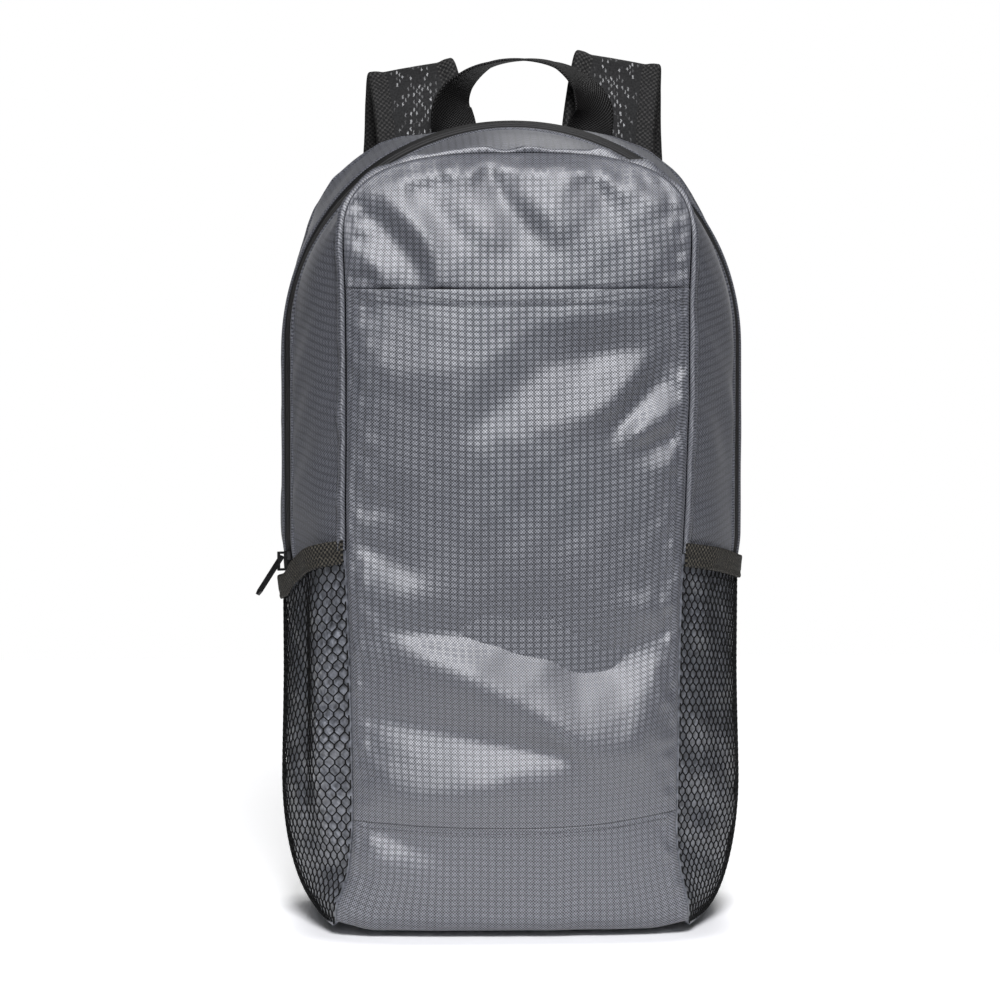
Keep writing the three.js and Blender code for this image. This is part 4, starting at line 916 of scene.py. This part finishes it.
# Side pockets
# A black knitted net with six-sided holes is stretched over the plain side of the bag, and a woven
# band binds its mouth. Both are caught in the front and back seams.
BAND_HEIGHT = 13
BAND_STEP = 1.1
BAND_THICK = 1.8
BAND_GAPE = dict(left=3.0, right=0.5)
BAND_SEAM = dict(depth=0.45, height=3.2, half=0.7)
BAND_SWELL = dict(rise=0.5, reach=1.4)
BAND_WAVE = dict(rise=0.35, pitch=24)
NET_THICK = 1.0
NET_FOOT = 2
NET_LAP = 1.5
NET_STAND = dict(gaps=1.8, pressed=0.4)
SLACK = dict(mean=1.2, rise=0.9, pitch=34, most=3, cells=0.2)
FOOT_INSET = 0.012
FOOT_MITRE = 0.04
NET_CELL = dict(left=(6.4, 3.8), right=(5.6, 3.5), joint=0.4)
NET_YARN = dict(joint=0.5, strand=0.4)
POCKET_CORNER = dict(
    left=7, right=1.5, crest=21, end=48, grow=1.25,
    rise=(25, 90), fall=(150, 212), fallen=0.6,
)

# Knitted polyester yarn: almost black and without shine, a little lighter where it is fluffed.
net_yarn, tree, shader = new_material(
    "knitted polyester net", Roughness=0.85, IOR=1.57, Specular_IOR_Level=0.2
)
place = add_node(tree, "ShaderNodeTexCoord")
lint = {"Vector": place.outputs["Object"], "Scale": 1 / (1.5 * MM), "Detail": 2.0}
lint = add_node(tree, "ShaderNodeTexNoise", lint)
tones = {0: lint.outputs["Fac"], 6: linear("#020202"), 7: linear("#070708")}
tone = add_node(tree, "ShaderNodeMix", tones, data_type="RGBA")
tree.links.new(tone.outputs[2], shader.inputs["Base Color"])


def woven(name, dark, light):
    """A matte woven ribbon, dark in the grain, whose crossing yarns show as a small chequer."""
    made, tree, shader = new_material(name, Roughness=0.8, IOR=1.57, Specular_IOR_Level=0.3)
    place = add_node(tree, "ShaderNodeAttribute", attribute_name="cloth_mm")
    basket = {"Vector": place.outputs["Vector"], "Scale": 0.7, "Color1": (1, 1, 1, 1), "Color2": (0, 0, 0, 1)}
    basket = add_node(tree, "ShaderNodeTexChecker", basket)
    lint = {"Vector": place.outputs["Vector"], "Scale": 0.8, "Detail": 3.0}
    lint = add_node(tree, "ShaderNodeTexNoise", lint)
    worn = {"Value": lint.outputs["Fac"], "From Min": 0.3, "From Max": 0.7}
    worn = add_node(tree, "ShaderNodeMapRange", worn)
    blend = {0: basket.outputs["Fac"], 1: worn.outputs[0]}
    blend = add_node(tree, "ShaderNodeMath", blend, operation="MULTIPLY")
    tones = {0: blend.outputs[0], 6: linear(dark), 7: linear(light)}
    tone = add_node(tree, "ShaderNodeMix", tones, data_type="RGBA")
    tree.links.new(tone.outputs[2], shader.inputs["Base Color"])
    bumped = {"Height": blend.outputs[0], "Strength": 1.0, "Distance": 0.4 * MM}
    bumped = add_node(tree, "ShaderNodeBump", bumped)
    tree.links.new(bumped.outputs[0], shader.inputs["Normal"])
    return made


band_weave = woven("woven polyester band", "#030303", "#625d52")

# Plain woven satin polyester without the check, seen through the net: silky and cloudy. Its tones are
# painted lighter than the checked cloth's to stand in for the light that falls on it.
plain, tree, shader = new_material("plain satin polyester painted lighter", Roughness=0.42, IOR=1.58, Specular_IOR_Level=1.0)
place = add_node(tree, "ShaderNodeAttribute", attribute_name="cloth_mm")
cloud = {"Vector": place.outputs["Vector"], "Scale": 0.3, "Detail": 3.0}
cloud = add_node(tree, "ShaderNodeTexNoise", cloud)
haze = {"Value": cloud.outputs["Fac"], "From Min": 0.3, "From Max": 0.7}
haze = add_node(tree, "ShaderNodeMapRange", haze)
# Painted light: both tones lighter than the checked cloth's.
tones = {0: haze.outputs[0], 6: linear("#3c3e43"), 7: linear("#8c8f97")}
tone = add_node(tree, "ShaderNodeMix", tones, data_type="RGBA")
tree.links.new(tone.outputs[2], shader.inputs["Base Color"])


def side_point(t, z, out=0.0):
    """Point of the right side at a height, moved out along the wall."""
    t, z, out = np.broadcast_arrays(np.asarray(t, float), np.asarray(z, float), np.asarray(out, float))
    point = gusset_point(station_at(z, t), t)
    ahead = gusset_point(station_at(z + 0.5, t), t) - point
    t_next, t_last = np.minimum(t + 0.01, 1), np.maximum(t - 0.01, -1)
    beside = gusset_point(station_at(z, t_next), t_next) - gusset_point(station_at(z, t_last), t_last)
    return point + unit(np.cross(beside, ahead)) * out[..., None]


def tubes(starts, ends, out, radius, sides=5):
    """Straight yarns between points, as points and faces."""
    along = unit(ends - starts)
    beside = unit(np.cross(along, out))
    above = np.cross(beside, along)
    turn = np.arange(sides) / sides * 2 * math.pi
    ring = radius[:, None, None] * (
        np.cos(turn)[None, :, None] * beside[:, None, :] + np.sin(turn)[None, :, None] * above[:, None, :]
    )
    points = np.concatenate([starts[:, None] + ring, ends[:, None] + ring], 1).reshape(-1, 3)
    base = 2 * sides * np.arange(len(starts))[:, None]
    j = np.arange(sides)
    nxt = (j + 1) % sides
    quads = np.stack([base + j, base + nxt, base + nxt + sides, base + j + sides], -1).reshape(-1, 4)
    caps = np.concatenate([base + j[::-1], base + j + sides]).tolist()
    return points, quads.tolist() + caps


def net_stand(t):
    return NET_THICK + NET_STAND["gaps"] * GAP - NET_STAND["pressed"] * fullness(t)


def corner_full(side, t, z):
    """How far the pocket's filled front corner stands out beside the front seam."""
    along = (t - t_front) * HALF_DEPTH * POCKET_CORNER["grow"]
    crest, end = POCKET_CORNER["crest"], POCKET_CORNER["end"]
    peak = np.minimum(np.clip(along / crest, 0, 1), np.clip((end - along) / (end - crest), 0, 1))
    tall = smooth(z, *POCKET_CORNER["rise"])
    tall = tall * (1 - POCKET_CORNER["fallen"] * smooth(z, *POCKET_CORNER["fall"]))
    return POCKET_CORNER[side] * smooth(peak, 0, 1) * tall


side_share = np.concatenate([np.linspace(0, 0.26, 49)[:-1], np.linspace(0.26, 1, 45)])
side_columns = mix(t_front, t_back, side_share)[:, None]
fine_t = np.linspace(t_front, t_back, 240)

for side in ("left", "right"):
    mirrored = side == "left"
    flip = np.array([-1, 1, 1]) if mirrored else np.ones(3)
    round_side = side_point(fine_t, 100.0, corner_full(side, fine_t, 100.0))
    round_length = np.concatenate([[0], np.cumsum(np.linalg.norm(np.diff(round_side, axis=0), axis=-1))])
    mouth_z = band_top(side, 0.0) - BAND_HEIGHT
    levels = int((mouth_z - NET_FOOT) / NET_CELL[side][1])
    cells = int(round_length[-1] / NET_CELL[side][0])
    wide = round_length[-1] / cells

    row = np.linspace(0, 1, 221)[None, :] ** 1.1
    z = mix(0.0, band_top(side, side_columns) - SIDE_SPLIT, row)
    side_grid = side_point(side_columns, np.maximum(z, 0.3))
    foot = gusset_point(1 + FOOT_INSET + FOOT_MITRE * np.maximum(0, -side_columns), side_columns)
    side_grid[:, :1] = foot
    hold = smooth(1 - np.abs(side_columns), 0.03, 0.2) * smooth(row, 0, 0.2)
    uneven = waves(side_columns * HALF_DEPTH, z, SLACK["pitch"], 31 + mirrored)
    slack = np.clip(SLACK["mean"] - SLACK["rise"] * uneven, 0, SLACK["most"]) * hold
    level = (z - NET_FOOT) / (band_top(side, side_columns) - BAND_HEIGHT + NET_LAP - NET_FOOT)
    level = level * levels
    column = np.interp(side_columns, fine_t, round_length) / wide
    filled = np.cos(2 * math.pi * column) * np.cos(math.pi * (level - 0.2)) * -0.5
    slack = slack - corner_full(side, side_columns, z) * (1 + SLACK["cells"] * filled)
    side_grid = side_grid - grid_normals(side_grid) * slack[..., None]
    wall(f"side_cloth_{side}", side_grid, plain, [f"side_panel_{side}"], mirrored=mirrored)

    def net_place(s, level):
        """Point of the net at a distance from the front seam and a level counted in rows of holes."""
        s = np.clip(s, 0, round_length[-1])
        t = np.interp(s, round_length, fine_t)
        top = band_top(side, t) - BAND_HEIGHT + NET_LAP
        way = np.clip(level / levels, 0, 1)
        z = mix(NET_FOOT, top, way)
        return side_point(t, z, net_stand(t) - NET_THICK / 2 + corner_full(side, t, z))

    level, column = np.meshgrid(np.arange(levels, dtype=float), np.arange(cells + 1.0), indexing="ij")
    s = (column + 0.5 * (level % 2)) * wide
    level, s = level[s < round_length[-1] + 1e-6], s[s < round_length[-1] + 1e-6]
    low, high = net_place(s, level), net_place(s, level + NET_CELL["joint"])
    starts = [low, high, high]
    ends = [high, net_place(s - 0.5 * wide, level + 1), net_place(s + 0.5 * wide, level + 1)]
    radii = [np.full(len(s), NET_YARN[kind]) for kind in ("joint", "strand", "strand")]
    starts, ends = np.concatenate(starts), np.concatenate(ends)
    keep = np.linalg.norm(ends - starts, axis=-1) > 0.2
    starts, ends, radii = starts[keep], ends[keep], np.concatenate(radii)[keep]
    outward = np.broadcast_to(np.array([1.0, -0.2, 0.05]), starts.shape)
    points, faces = tubes(starts * flip, ends * flip, outward * flip, radii)
    build(f"side_net_{side}", points, faces, net_yarn, [f"mesh_pocket_{side}"])

    row = np.concatenate([
        np.linspace(0, 0.12, 5)[:-1], np.linspace(0.12, 0.88, 10), np.linspace(0.88, 1, 5)[1:],
    ])
    band_columns = np.linspace(t_front, t_back, 141)[:, None]
    edge = np.minimum(row, 1 - row) * BAND_HEIGHT
    sewn = -BAND_SEAM["depth"] * np.exp(-((row * BAND_HEIGHT - BAND_SEAM["height"]) / BAND_SEAM["half"]) ** 2)
    swell = np.sqrt(np.clip(edge / BAND_SWELL["reach"], 0, 1))
    swell = BAND_SWELL["rise"] * swell - BAND_SWELL["rise"] + sewn
    z = band_top(side, band_columns) - BAND_HEIGHT * (1 - row)[None, :]
    wavy = waves(band_columns * HALF_DEPTH, 0 * band_columns, BAND_WAVE["pitch"], 41 + mirrored)
    wavy = BAND_WAVE["rise"] * wavy
    gape = BAND_GAPE[side] * fullness(band_columns) ** 2 * mix(0.4, 1, row)[None, :]
    stand = net_stand(band_columns) + BAND_STEP + corner_full(side, band_columns, z) + gape
    band_grid = side_point(band_columns, z, stand + swell[None, :] + wavy)
    wall(f"pocket_band_weave_{side}", band_grid, band_weave, [f"pocket_band_{side}"],
         BAND_THICK - BAND_SWELL["rise"], mirrored)


# Shoulder straps
# Each strap is a pad of open spacer mesh with a wide woven binding folded round both edges. It is sewn
# in at the back seam, rises over the top and falls behind the bag to its lower webbing.
STRAP_SHIFT = 5
STRAP_LIFT = dict(left=-2.5, right=2)
PAD_HALF = 2
PAD_CROWN = dict(middle=1.55, fall=0.55, edge=0.18)
BINDING = 1.1
BINDING_LAP = 11
BINDING_GAP = 0.7
BINDING_ROUND = dict(outer=0.6, inner=0.2)
BINDING_SEAM = dict(depth=0.25, at=0.22, half=0.1)
STRAP = [
    dict(place="root", x=52, y=67, z=407, width=53, roll=0),
    dict(place="seam", x=52, y=68, z=431, width=53, roll=4),
    dict(place="rise", x=55, y=73, z=456, width=52, roll=8),
    dict(place="apex", x=58.5, y=86, z=472, width=50, roll=10),
    dict(place="over", x=59, y=100, z=459, width=51, roll=7),
    dict(place="shoulder", x=58.5, y=108, z=428, width=54, roll=3),
    dict(place="upper", x=62, y=112, z=373, width=56, roll=0),
    dict(place="middle", x=68, y=113, z=313, width=56, roll=0),
    dict(place="lower", x=75, y=110, z=253, width=53, roll=0),
    dict(place="taper", x=81, y=104, z=205, width=43, roll=0),
    dict(place="end", x=84, y=99, z=173, width=27, roll=0),
]
edge_weave = woven("woven edge binding", "#020202", "#444341")
SPACER = dict(wide=3.2, tall=4.2, half_wide=0.13, half_tall=0.3, lean=0.16, stray=2.4, clear=(15.0, 9.0))

# Knitted polyester: black and dull, with rows of pale glints that thin out towards the bindings.
spacer, tree, shader = new_material("knitted spacer mesh", Roughness=0.8, IOR=1.57, Specular_IOR_Level=0.3)
place = add_node(tree, "ShaderNodeAttribute", attribute_name="cloth_mm")
parts = add_node(tree, "ShaderNodeSeparateXYZ", {0: place.outputs["Vector"]})
# Two staggered sets of long holes in the outer knit, in each of which the inner knit shows as a pale speck:
# a painted glint, uneven from hole to hole.
knit = {"Vector": place.outputs["Vector"], "Scale": 0.9, "Detail": 2.0}
knit = add_node(tree, "ShaderNodeTexNoise", knit)
leaning = {0: parts.outputs["Y"], 1: SPACER["lean"], 2: parts.outputs["X"]}
leaning = add_node(tree, "ShaderNodeMath", leaning, operation="MULTIPLY_ADD")
sideways = {0: knit.outputs["Fac"], 1: SPACER["stray"], 2: leaning.outputs[0]}
sideways = add_node(tree, "ShaderNodeMath", sideways, operation="MULTIPLY_ADD")
specks = []
for shift in (0.0, 0.5):
    cell, far = [], []
    for line, pitch, reach in (
        (sideways.outputs[0], SPACER["wide"], SPACER["half_wide"]),
        (parts.outputs["Y"], SPACER["tall"], SPACER["half_tall"]),
    ):
        count = add_node(tree, "ShaderNodeMath", {0: line, 1: 1 / pitch, 2: shift}, operation="MULTIPLY_ADD")
        cell.append(add_node(tree, "ShaderNodeMath", {0: count.outputs[0]}, operation="FLOOR").outputs[0])
        share = add_node(tree, "ShaderNodeMath", {0: count.outputs[0]}, operation="FRACT")
        middle = add_node(tree, "ShaderNodeMath", {0: share.outputs[0], 1: 0.5}, operation="SUBTRACT")
        scaled = add_node(tree, "ShaderNodeMath", {0: middle.outputs[0], 1: 1 / reach}, operation="MULTIPLY")
        squared = add_node(tree, "ShaderNodeMath", {0: scaled.outputs[0], 1: 2.0}, operation="POWER")
        far.append(squared.outputs[0])
    cell = add_node(tree, "ShaderNodeCombineXYZ", {"X": cell[0], "Y": cell[1], "Z": shift})
    chance = add_node(tree, "ShaderNodeTexWhiteNoise", {"Vector": cell.outputs[0]})
    away = add_node(tree, "ShaderNodeMath", {0: far[0], 1: far[1]}, operation="ADD")
    hole = {"Value": away.outputs[0], "From Min": 1.3, "From Max": 0.4}
    hole = add_node(tree, "ShaderNodeMapRange", hole)
    glint = {"Value": chance.outputs[0], "From Min": 0.5, "From Max": 1.6}
    glint = add_node(tree, "ShaderNodeMapRange", glint)
    speck = {0: hole.outputs[0], 1: glint.outputs[0]}
    specks.append(add_node(tree, "ShaderNodeMath", speck, operation="MULTIPLY").outputs[0])
speck = add_node(tree, "ShaderNodeMath", {0: specks[0], 1: specks[1]}, operation="MAXIMUM")
aside = add_node(tree, "ShaderNodeMath", {0: parts.outputs["X"]}, operation="ABSOLUTE")
clear = {"Value": aside.outputs[0], "From Min": SPACER["clear"][0], "From Max": SPACER["clear"][1]}
clear = add_node(tree, "ShaderNodeMapRange", clear)
shown = add_node(tree, "ShaderNodeMath", {0: speck.outputs[0], 1: clear.outputs[0]}, operation="MULTIPLY")
ground = {"Value": knit.outputs["Fac"], "From Min": 0.3, "From Max": 0.7, "To Max": 0.018}
ground = add_node(tree, "ShaderNodeMapRange", ground)
lit = add_node(tree, "ShaderNodeMath", {0: shown.outputs[0], 1: ground.outputs[0]}, operation="MAXIMUM")
# The pale tone is the painted glints in the holes.
tones = {0: lit.outputs[0], 6: linear("#030303"), 7: linear("#e4e4e4")}
tone = add_node(tree, "ShaderNodeMix", tones, data_type="RGBA")
tree.links.new(tone.outputs[2], shader.inputs["Base Color"])
bumped = {"Height": speck.outputs[0], "Strength": 0.8, "Distance": 0.5 * MM}
bumped = add_node(tree, "ShaderNodeBump", bumped, invert=True)
tree.links.new(bumped.outputs[0], shader.inputs["Normal"])


def curve_through(rows):
    return np.array([[row["x"], row["y"], row["z"]] for row in rows], float)


def curve_point(points, places):
    """Centripetal curve through points, at places from 0 to 1 counted evenly from point to point."""
    last = len(points) - 1
    padded = np.concatenate([[2 * points[0] - points[1]], points, [2 * points[-1] - points[-2]]])
    at = np.clip(np.asarray(places, float), 0, 1) * last
    low = np.minimum(at.astype(int), last - 1)
    share = (at - low)[:, None]
    p0, p1, p2, p3 = (padded[low + i] for i in range(4))
    d0, d1, d2 = (np.sqrt(np.linalg.norm(b - a, axis=-1))[:, None] for a, b in ((p0, p1), (p1, p2), (p2, p3)))
    out = ((p1 - p0) / d0 - (p2 - p0) / (d0 + d1) + (p2 - p1) / d1) * d1
    into = ((p2 - p1) / d1 - (p3 - p1) / (d1 + d2) + (p3 - p2) / d2) * d1
    return (
        p1 + out * share + (3 * (p2 - p1) - 2 * out - into) * share ** 2
        + (2 * (p1 - p2) + out + into) * share ** 3
    )


def curve_tangent(points, places):
    step = 1e-4
    places = np.asarray(places, float)
    return unit(curve_point(points, places + step) - curve_point(points, places - step))


def read_column(rows, column, places):
    values = [row[column] for row in rows]
    return np.interp(np.asarray(places) * (len(rows) - 1), np.arange(len(rows)), values)


def sweep(name, at, wide, normal, section, material, stands_for, shift, mirrored=False):
    """A strip with its own closed section of (across, normal) at each place along it."""
    section = np.broadcast_to(section, (len(at), *section.shape[-2:]))
    grid = at[:, None] + section[..., :1] * wide[:, None] + section[..., 1:] * normal[:, None]
    count, size = grid.shape[:2]
    run = np.concatenate([[0], np.cumsum(np.linalg.norm(np.diff(at, axis=0), axis=-1))])
    run = np.broadcast_to(run[:, None], (count, size))
    measure = np.stack([section[..., 0], run, np.zeros((count, size))], -1).reshape(-1, 3)
    index = np.arange(count * size).reshape(count, size)
    nxt = np.roll(index, -1, axis=1)
    faces = np.stack([index[:-1], nxt[:-1], nxt[1:], index[1:]], -1).reshape(-1, 4).tolist()
    faces += [index[0, ::-1].tolist(), index[-1].tolist()]
    points = grid.reshape(-1, 3)
    if mirrored:
        points = points * (-1, 1, 1)
        faces = [face[::-1] for face in faces]
    return build(name, points + np.array(shift), faces, material, stands_for, measure=measure)


def framed(points, places, roll):
    """Place, tangent, across and normal along a curve, the across as near to +X as it can be."""
    at = curve_point(points, places)
    tangent = curve_tangent(points, places)
    wide = unit(np.array([1.0, 0, 0]) - tangent * tangent[:, :1])
    turn = np.radians(roll)[:, None]
    wide = wide * np.cos(turn) + np.cross(tangent, wide) * np.sin(turn)
    return at, tangent, wide, np.cross(tangent, wide)


strap_places = np.linspace(0, 1, 181)
strap_at, strap_tangent, strap_wide, strap_normal = framed(
    curve_through(STRAP), strap_places, read_column(STRAP, "roll", strap_places)
)
strap_half = read_column(STRAP, "width", strap_places) / 2
strap_lap = strap_half - np.minimum(BINDING_LAP, strap_half - 2)

face_share = np.linspace(1, -1, 25)
pad_half = (strap_half - BINDING - GAP)[:, None]
crown = PAD_CROWN["middle"] - PAD_CROWN["fall"] * face_share ** 2
crown -= PAD_CROWN["edge"] * np.abs(face_share) ** 6
pad_section = np.concatenate([
    np.stack([pad_half * face_share, np.broadcast_to(PAD_HALF * crown, (len(strap_at), 25))], -1),
    np.stack([pad_half * face_share[::-1], np.broadcast_to(-PAD_HALF * crown, (len(strap_at), 25))], -1),
], 1)


def binding_section(edge):
    """A folded binding: its outside round the pad's edge, then back along its inside."""
    inner, outer = PAD_HALF + BINDING_GAP, PAD_HALF + BINDING_GAP + BINDING
    half, lap = strap_half[:, None], strap_lap[:, None]
    turn = np.linspace(-math.pi / 2, math.pi / 2, 9)[None, :]
    outer_turn, inner_turn = BINDING + BINDING_ROUND["outer"], BINDING_ROUND["inner"]
    outer_edge, inner_edge = half - BINDING - BINDING_ROUND["outer"], half - BINDING - inner_turn
    bulge = [outer_edge + outer_turn * np.cos(turn), outer * np.sin(turn) + 0 * half]
    hollow = [inner_edge + inner_turn * np.cos(turn), inner * np.sin(turn) + 0 * half]
    face = np.linspace(0, 1, 8)[None, :-1]
    full = smooth(face, 0.0, 0.8)
    sewn = BINDING_SEAM["depth"] * np.exp(-((face - BINDING_SEAM["at"]) / BINDING_SEAM["half"]) ** 2)
    outer_low = [mix(lap, outer_edge, face), -(mix(PAD_HALF + BINDING_GAP, outer, full) - sewn) + 0 * half]
    inner_high = [mix(lap, half - BINDING, face), mix(PAD_HALF + 0.1, inner, full) + 0 * half]
    loops = [
        outer_low, bulge, [outer_low[0][:, ::-1], -outer_low[1][:, ::-1]],
        inner_high, [hollow[0][:, ::-1], hollow[1][:, ::-1]],
        [inner_high[0][:, ::-1], -inner_high[1][:, ::-1]],
    ]
    section = np.concatenate([np.stack(loop, -1) for loop in loops], 1)
    if edge < 0:
        section = section[:, ::-1] * (-1, 1)
    return section


# Lower strap ends
# A tab of webbing sewn round the end of the pad holds a plastic ladder lock, and the webbing from
# the lower back corner turns over its lower bar and leaves a loose tail.
WEBBING = 1.4
TAB_WIDTH = 20
TAB_LAP = 26
LOCK = dict(half=14, slot_half=10.8, bar=3, slot=4.2, thick=3, drop=9)
TAIL = [dict(along=8, out=0), dict(along=20, out=0.8), dict(along=42, out=2.5)]
ANCHOR = [dict(x=100, y=67.2, z=34), dict(x=99.5, y=68.6, z=48), dict(x=95, y=79, z=95)]
RIB = 2.0

# Woven polypropylene: rows of small black floats with a dull shine on each.
ribbed, tree, shader = new_material(
    "woven polypropylene webbing", Roughness=0.5, IOR=1.49, Specular_IOR_Level=0.25
)
place = add_node(tree, "ShaderNodeAttribute", attribute_name="cloth_mm")
parts = add_node(tree, "ShaderNodeSeparateXYZ", {0: place.outputs["Vector"]})
peaks = []
for axis, pitch in (("X", RIB), ("Y", RIB * 0.8)):
    turns = {0: parts.outputs[axis], 1: 2 * math.pi / pitch}
    turns = add_node(tree, "ShaderNodeMath", turns, operation="MULTIPLY")
    peaks.append(add_node(tree, "ShaderNodeMath", {0: turns.outputs[0]}, operation="SINE").outputs[0])
chain = add_node(tree, "ShaderNodeMath", {0: peaks[0], 1: peaks[1]}, operation="MULTIPLY")
raised = add_node(tree, "ShaderNodeMapRange", {"Value": chain.outputs[0], "From Min": -1.0})
tones = {0: raised.outputs[0], 6: linear("#010101"), 7: linear("#1d1c1b")}
tone = add_node(tree, "ShaderNodeMix", tones, data_type="RGBA")
tree.links.new(tone.outputs[2], shader.inputs["Base Color"])
bumped = {"Height": raised.outputs[0], "Strength": 1.0, "Distance": 0.5 * MM}
bumped = add_node(tree, "ShaderNodeBump", bumped)
tree.links.new(bumped.outputs[0], shader.inputs["Normal"])

end_at, end_tangent, end_wide, end_normal = (
    values[-1] for values in (strap_at, strap_tangent, strap_wide, strap_normal)
)


def end_point(along, out):
    return end_at + end_tangent * along + end_normal * out


def flat_section(width, thick, count=15):
    """A flat strip with rounded edges."""
    turn = np.linspace(-math.pi / 2, math.pi / 2, 5)
    face = np.linspace(-1, 1, count)[1:-1] * (width - thick) / 2
    edge = np.stack([(width - thick) / 2 + thick / 2 * np.cos(turn), thick / 2 * np.sin(turn)], -1)
    low = np.stack([face, np.full_like(face, -thick / 2)], -1)
    return np.concatenate([low, edge, low[::-1] * (1, -1), edge[::-1] * (-1, 1)])


def turn_points(centre, way, out):
    angle = np.radians(np.linspace(-90, 90, 11))
    return [end_point(centre + way * out * math.cos(a), -out * math.sin(a)) for a in angle]


def chain_frames(points):
    """Frames along a chain of points in the plane of the strap's end, drawn through a curve."""
    points = np.array(points)
    places = np.linspace(0, 1, 8 * len(points) + 1)
    at = curve_point(points, places)
    tangent = curve_tangent(points, places)
    wide = unit(end_wide - tangent * (tangent @ end_wide)[:, None])
    return at, wide, np.cross(tangent, wide)


tab_out = PAD_HALF + BINDING_GAP + BINDING + GAP + WEBBING / 2
bar_out = LOCK["thick"] / math.sqrt(2) + GAP / 2 + WEBBING / 2
lower_bar = LOCK["drop"] + 2 * LOCK["bar"] + 2 * LOCK["slot"]
tab_chain = [
    end_point(-TAB_LAP, tab_out), end_point(1, tab_out),
    *turn_points(LOCK["drop"] + LOCK["bar"] / 2, 1, bar_out),
    end_point(1, -tab_out), end_point(-TAB_LAP, -tab_out),
]
anchor_curve = np.concatenate([curve_through(ANCHOR), [end_point(lower_bar + 14, -bar_out - 0.5)]])
webbing_chain = [
    *curve_point(anchor_curve, np.linspace(0, 1, 9)), end_point(lower_bar + 7, -bar_out),
    *turn_points(lower_bar + LOCK["bar"] / 2, -1, bar_out)[::-1],
    *[end_point(lower_bar + tail["along"], bar_out + tail["out"]) for tail in TAIL],
]

# Moulded in a grained tool: a black plastic with a soft, slightly broken shine.
acetal, tree, shader = new_material("moulded acetal", Roughness=0.42, IOR=1.48, Base_Color=linear("#141414"))
place = add_node(tree, "ShaderNodeTexCoord")
grit = {"Vector": place.outputs["Object"], "Scale": 1 / (0.8 * MM), "Detail": 2.0}
grit = add_node(tree, "ShaderNodeTexNoise", grit)
bumped = {"Height": grit.outputs["Fac"], "Strength": 0.25, "Distance": 0.08 * MM}
bumped = add_node(tree, "ShaderNodeBump", bumped)
tree.links.new(bumped.outputs[0], shader.inputs["Normal"])


def dress_solid(node, material, bevel):
    """Keeps a hard CAD piece, with its edges rounded and its own material."""
    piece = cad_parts[node]
    piece.data.materials.clear()
    piece.data.materials.append(material)
    edges = piece.modifiers.new("rounded edges", "BEVEL")
    edges.width = bevel * MM
    edges.segments = 3
    edges.limit_method = "ANGLE"
    edges.angle_limit = math.radians(40)


for side in ("left", "right"):
    mirrored = side == "left"
    shift = (STRAP_SHIFT, 0, STRAP_LIFT[side])
    pad = sweep(f"strap_pad_mesh_{side}", strap_at, strap_wide, strap_normal, pad_section, spacer,
                [f"strap_pad_{side}"], shift, mirrored)
    for edge_name, edge in (("inner", -1), ("outer", 1)):
        sweep(f"strap_binding_weave_{edge_name}_{side}", strap_at, strap_wide, strap_normal,
              binding_section(edge), edge_weave, [f"strap_binding_{edge_name}_{side}"],
              shift, mirrored)
    for piece_name, chain_points, node in (
        ("strap_tab_weave", tab_chain, "strap_tab"), ("strap_webbing_weave", webbing_chain, "strap_webbing"),
    ):
        at, wide, normal = chain_frames(chain_points)
        sweep(f"{piece_name}_{side}", at, wide, normal, flat_section(TAB_WIDTH, WEBBING), ribbed,
              [f"{node}_{side}"], shift, mirrored)
    dress_solid(f"ladder_lock_{side}", acetal, 0.5)


# Grab handle
# A loop of 25 mm webbing, both feet sewn flat to the back panel between the straps. It turns
# edge-on to the front as it rises, and level at the apex.
HANDLE_SHIFT = 8
HANDLE_WIDTH = 26
HANDLE = [
    dict(x=-38, y=61.9, z=414, turn=0),
    dict(x=-38, y=61.2, z=435, turn=0),
    dict(x=-39.5, y=56.8, z=451, turn=0.38),
    dict(x=-32.5, y=57, z=464, turn=0.7),
    dict(x=-18.5, y=56.4, z=473.5, turn=0.93),
    dict(x=0, y=56, z=476.5, turn=1),
]
handle_rows = HANDLE + [dict(row, x=-row["x"], turn=2 - row["turn"]) for row in HANDLE[-2::-1]]
handle_places = np.linspace(0, 1, 121)
handle_points = curve_through(handle_rows)
handle_at = curve_point(handle_points, handle_places)
handle_tangent = curve_tangent(handle_points, handle_places)
handle_turn = (read_column(handle_rows, "turn", handle_places) * math.pi / 2)[:, None]
level = unit(np.array([0, 1.0, 0]) - handle_tangent * handle_tangent[:, 1:2])
in_plane = unit(np.cross(level, handle_tangent))
handle_wide = in_plane * np.cos(handle_turn) + level * np.sin(handle_turn)
sweep("grab_handle_weave", handle_at, handle_wide, np.cross(handle_tangent, handle_wide),
      flat_section(HANDLE_WIDTH, WEBBING, 19), ribbed, ["grab_handle"], (HANDLE_SHIFT, 0, 0))


# Zip slider and pull
# A die-cast slider lacquered black is parked at the left end of the zip, and its slim pull hangs by
# its eye from the slider's bridge.

# Lacquer over zinc: deep black, with bright small highlights that dull where it has been handled.
lacquer, tree, shader = new_material("black lacquered zinc", IOR=1.5, Base_Color=linear("#0f0f10"))
place = add_node(tree, "ShaderNodeTexCoord")
wear = {"Vector": place.outputs["Object"], "Scale": 1 / (2.5 * MM), "Detail": 4.0}
wear = add_node(tree, "ShaderNodeTexNoise", wear)
worn = add_node(tree, "ShaderNodeMapRange", {"Value": wear.outputs["Fac"], "To Min": 0.25, "To Max": 0.5})
tree.links.new(worn.outputs[0], shader.inputs["Roughness"])
for node in ("zip_slider", "zip_pull"):
    dress_solid(node, lacquer, 0.25)
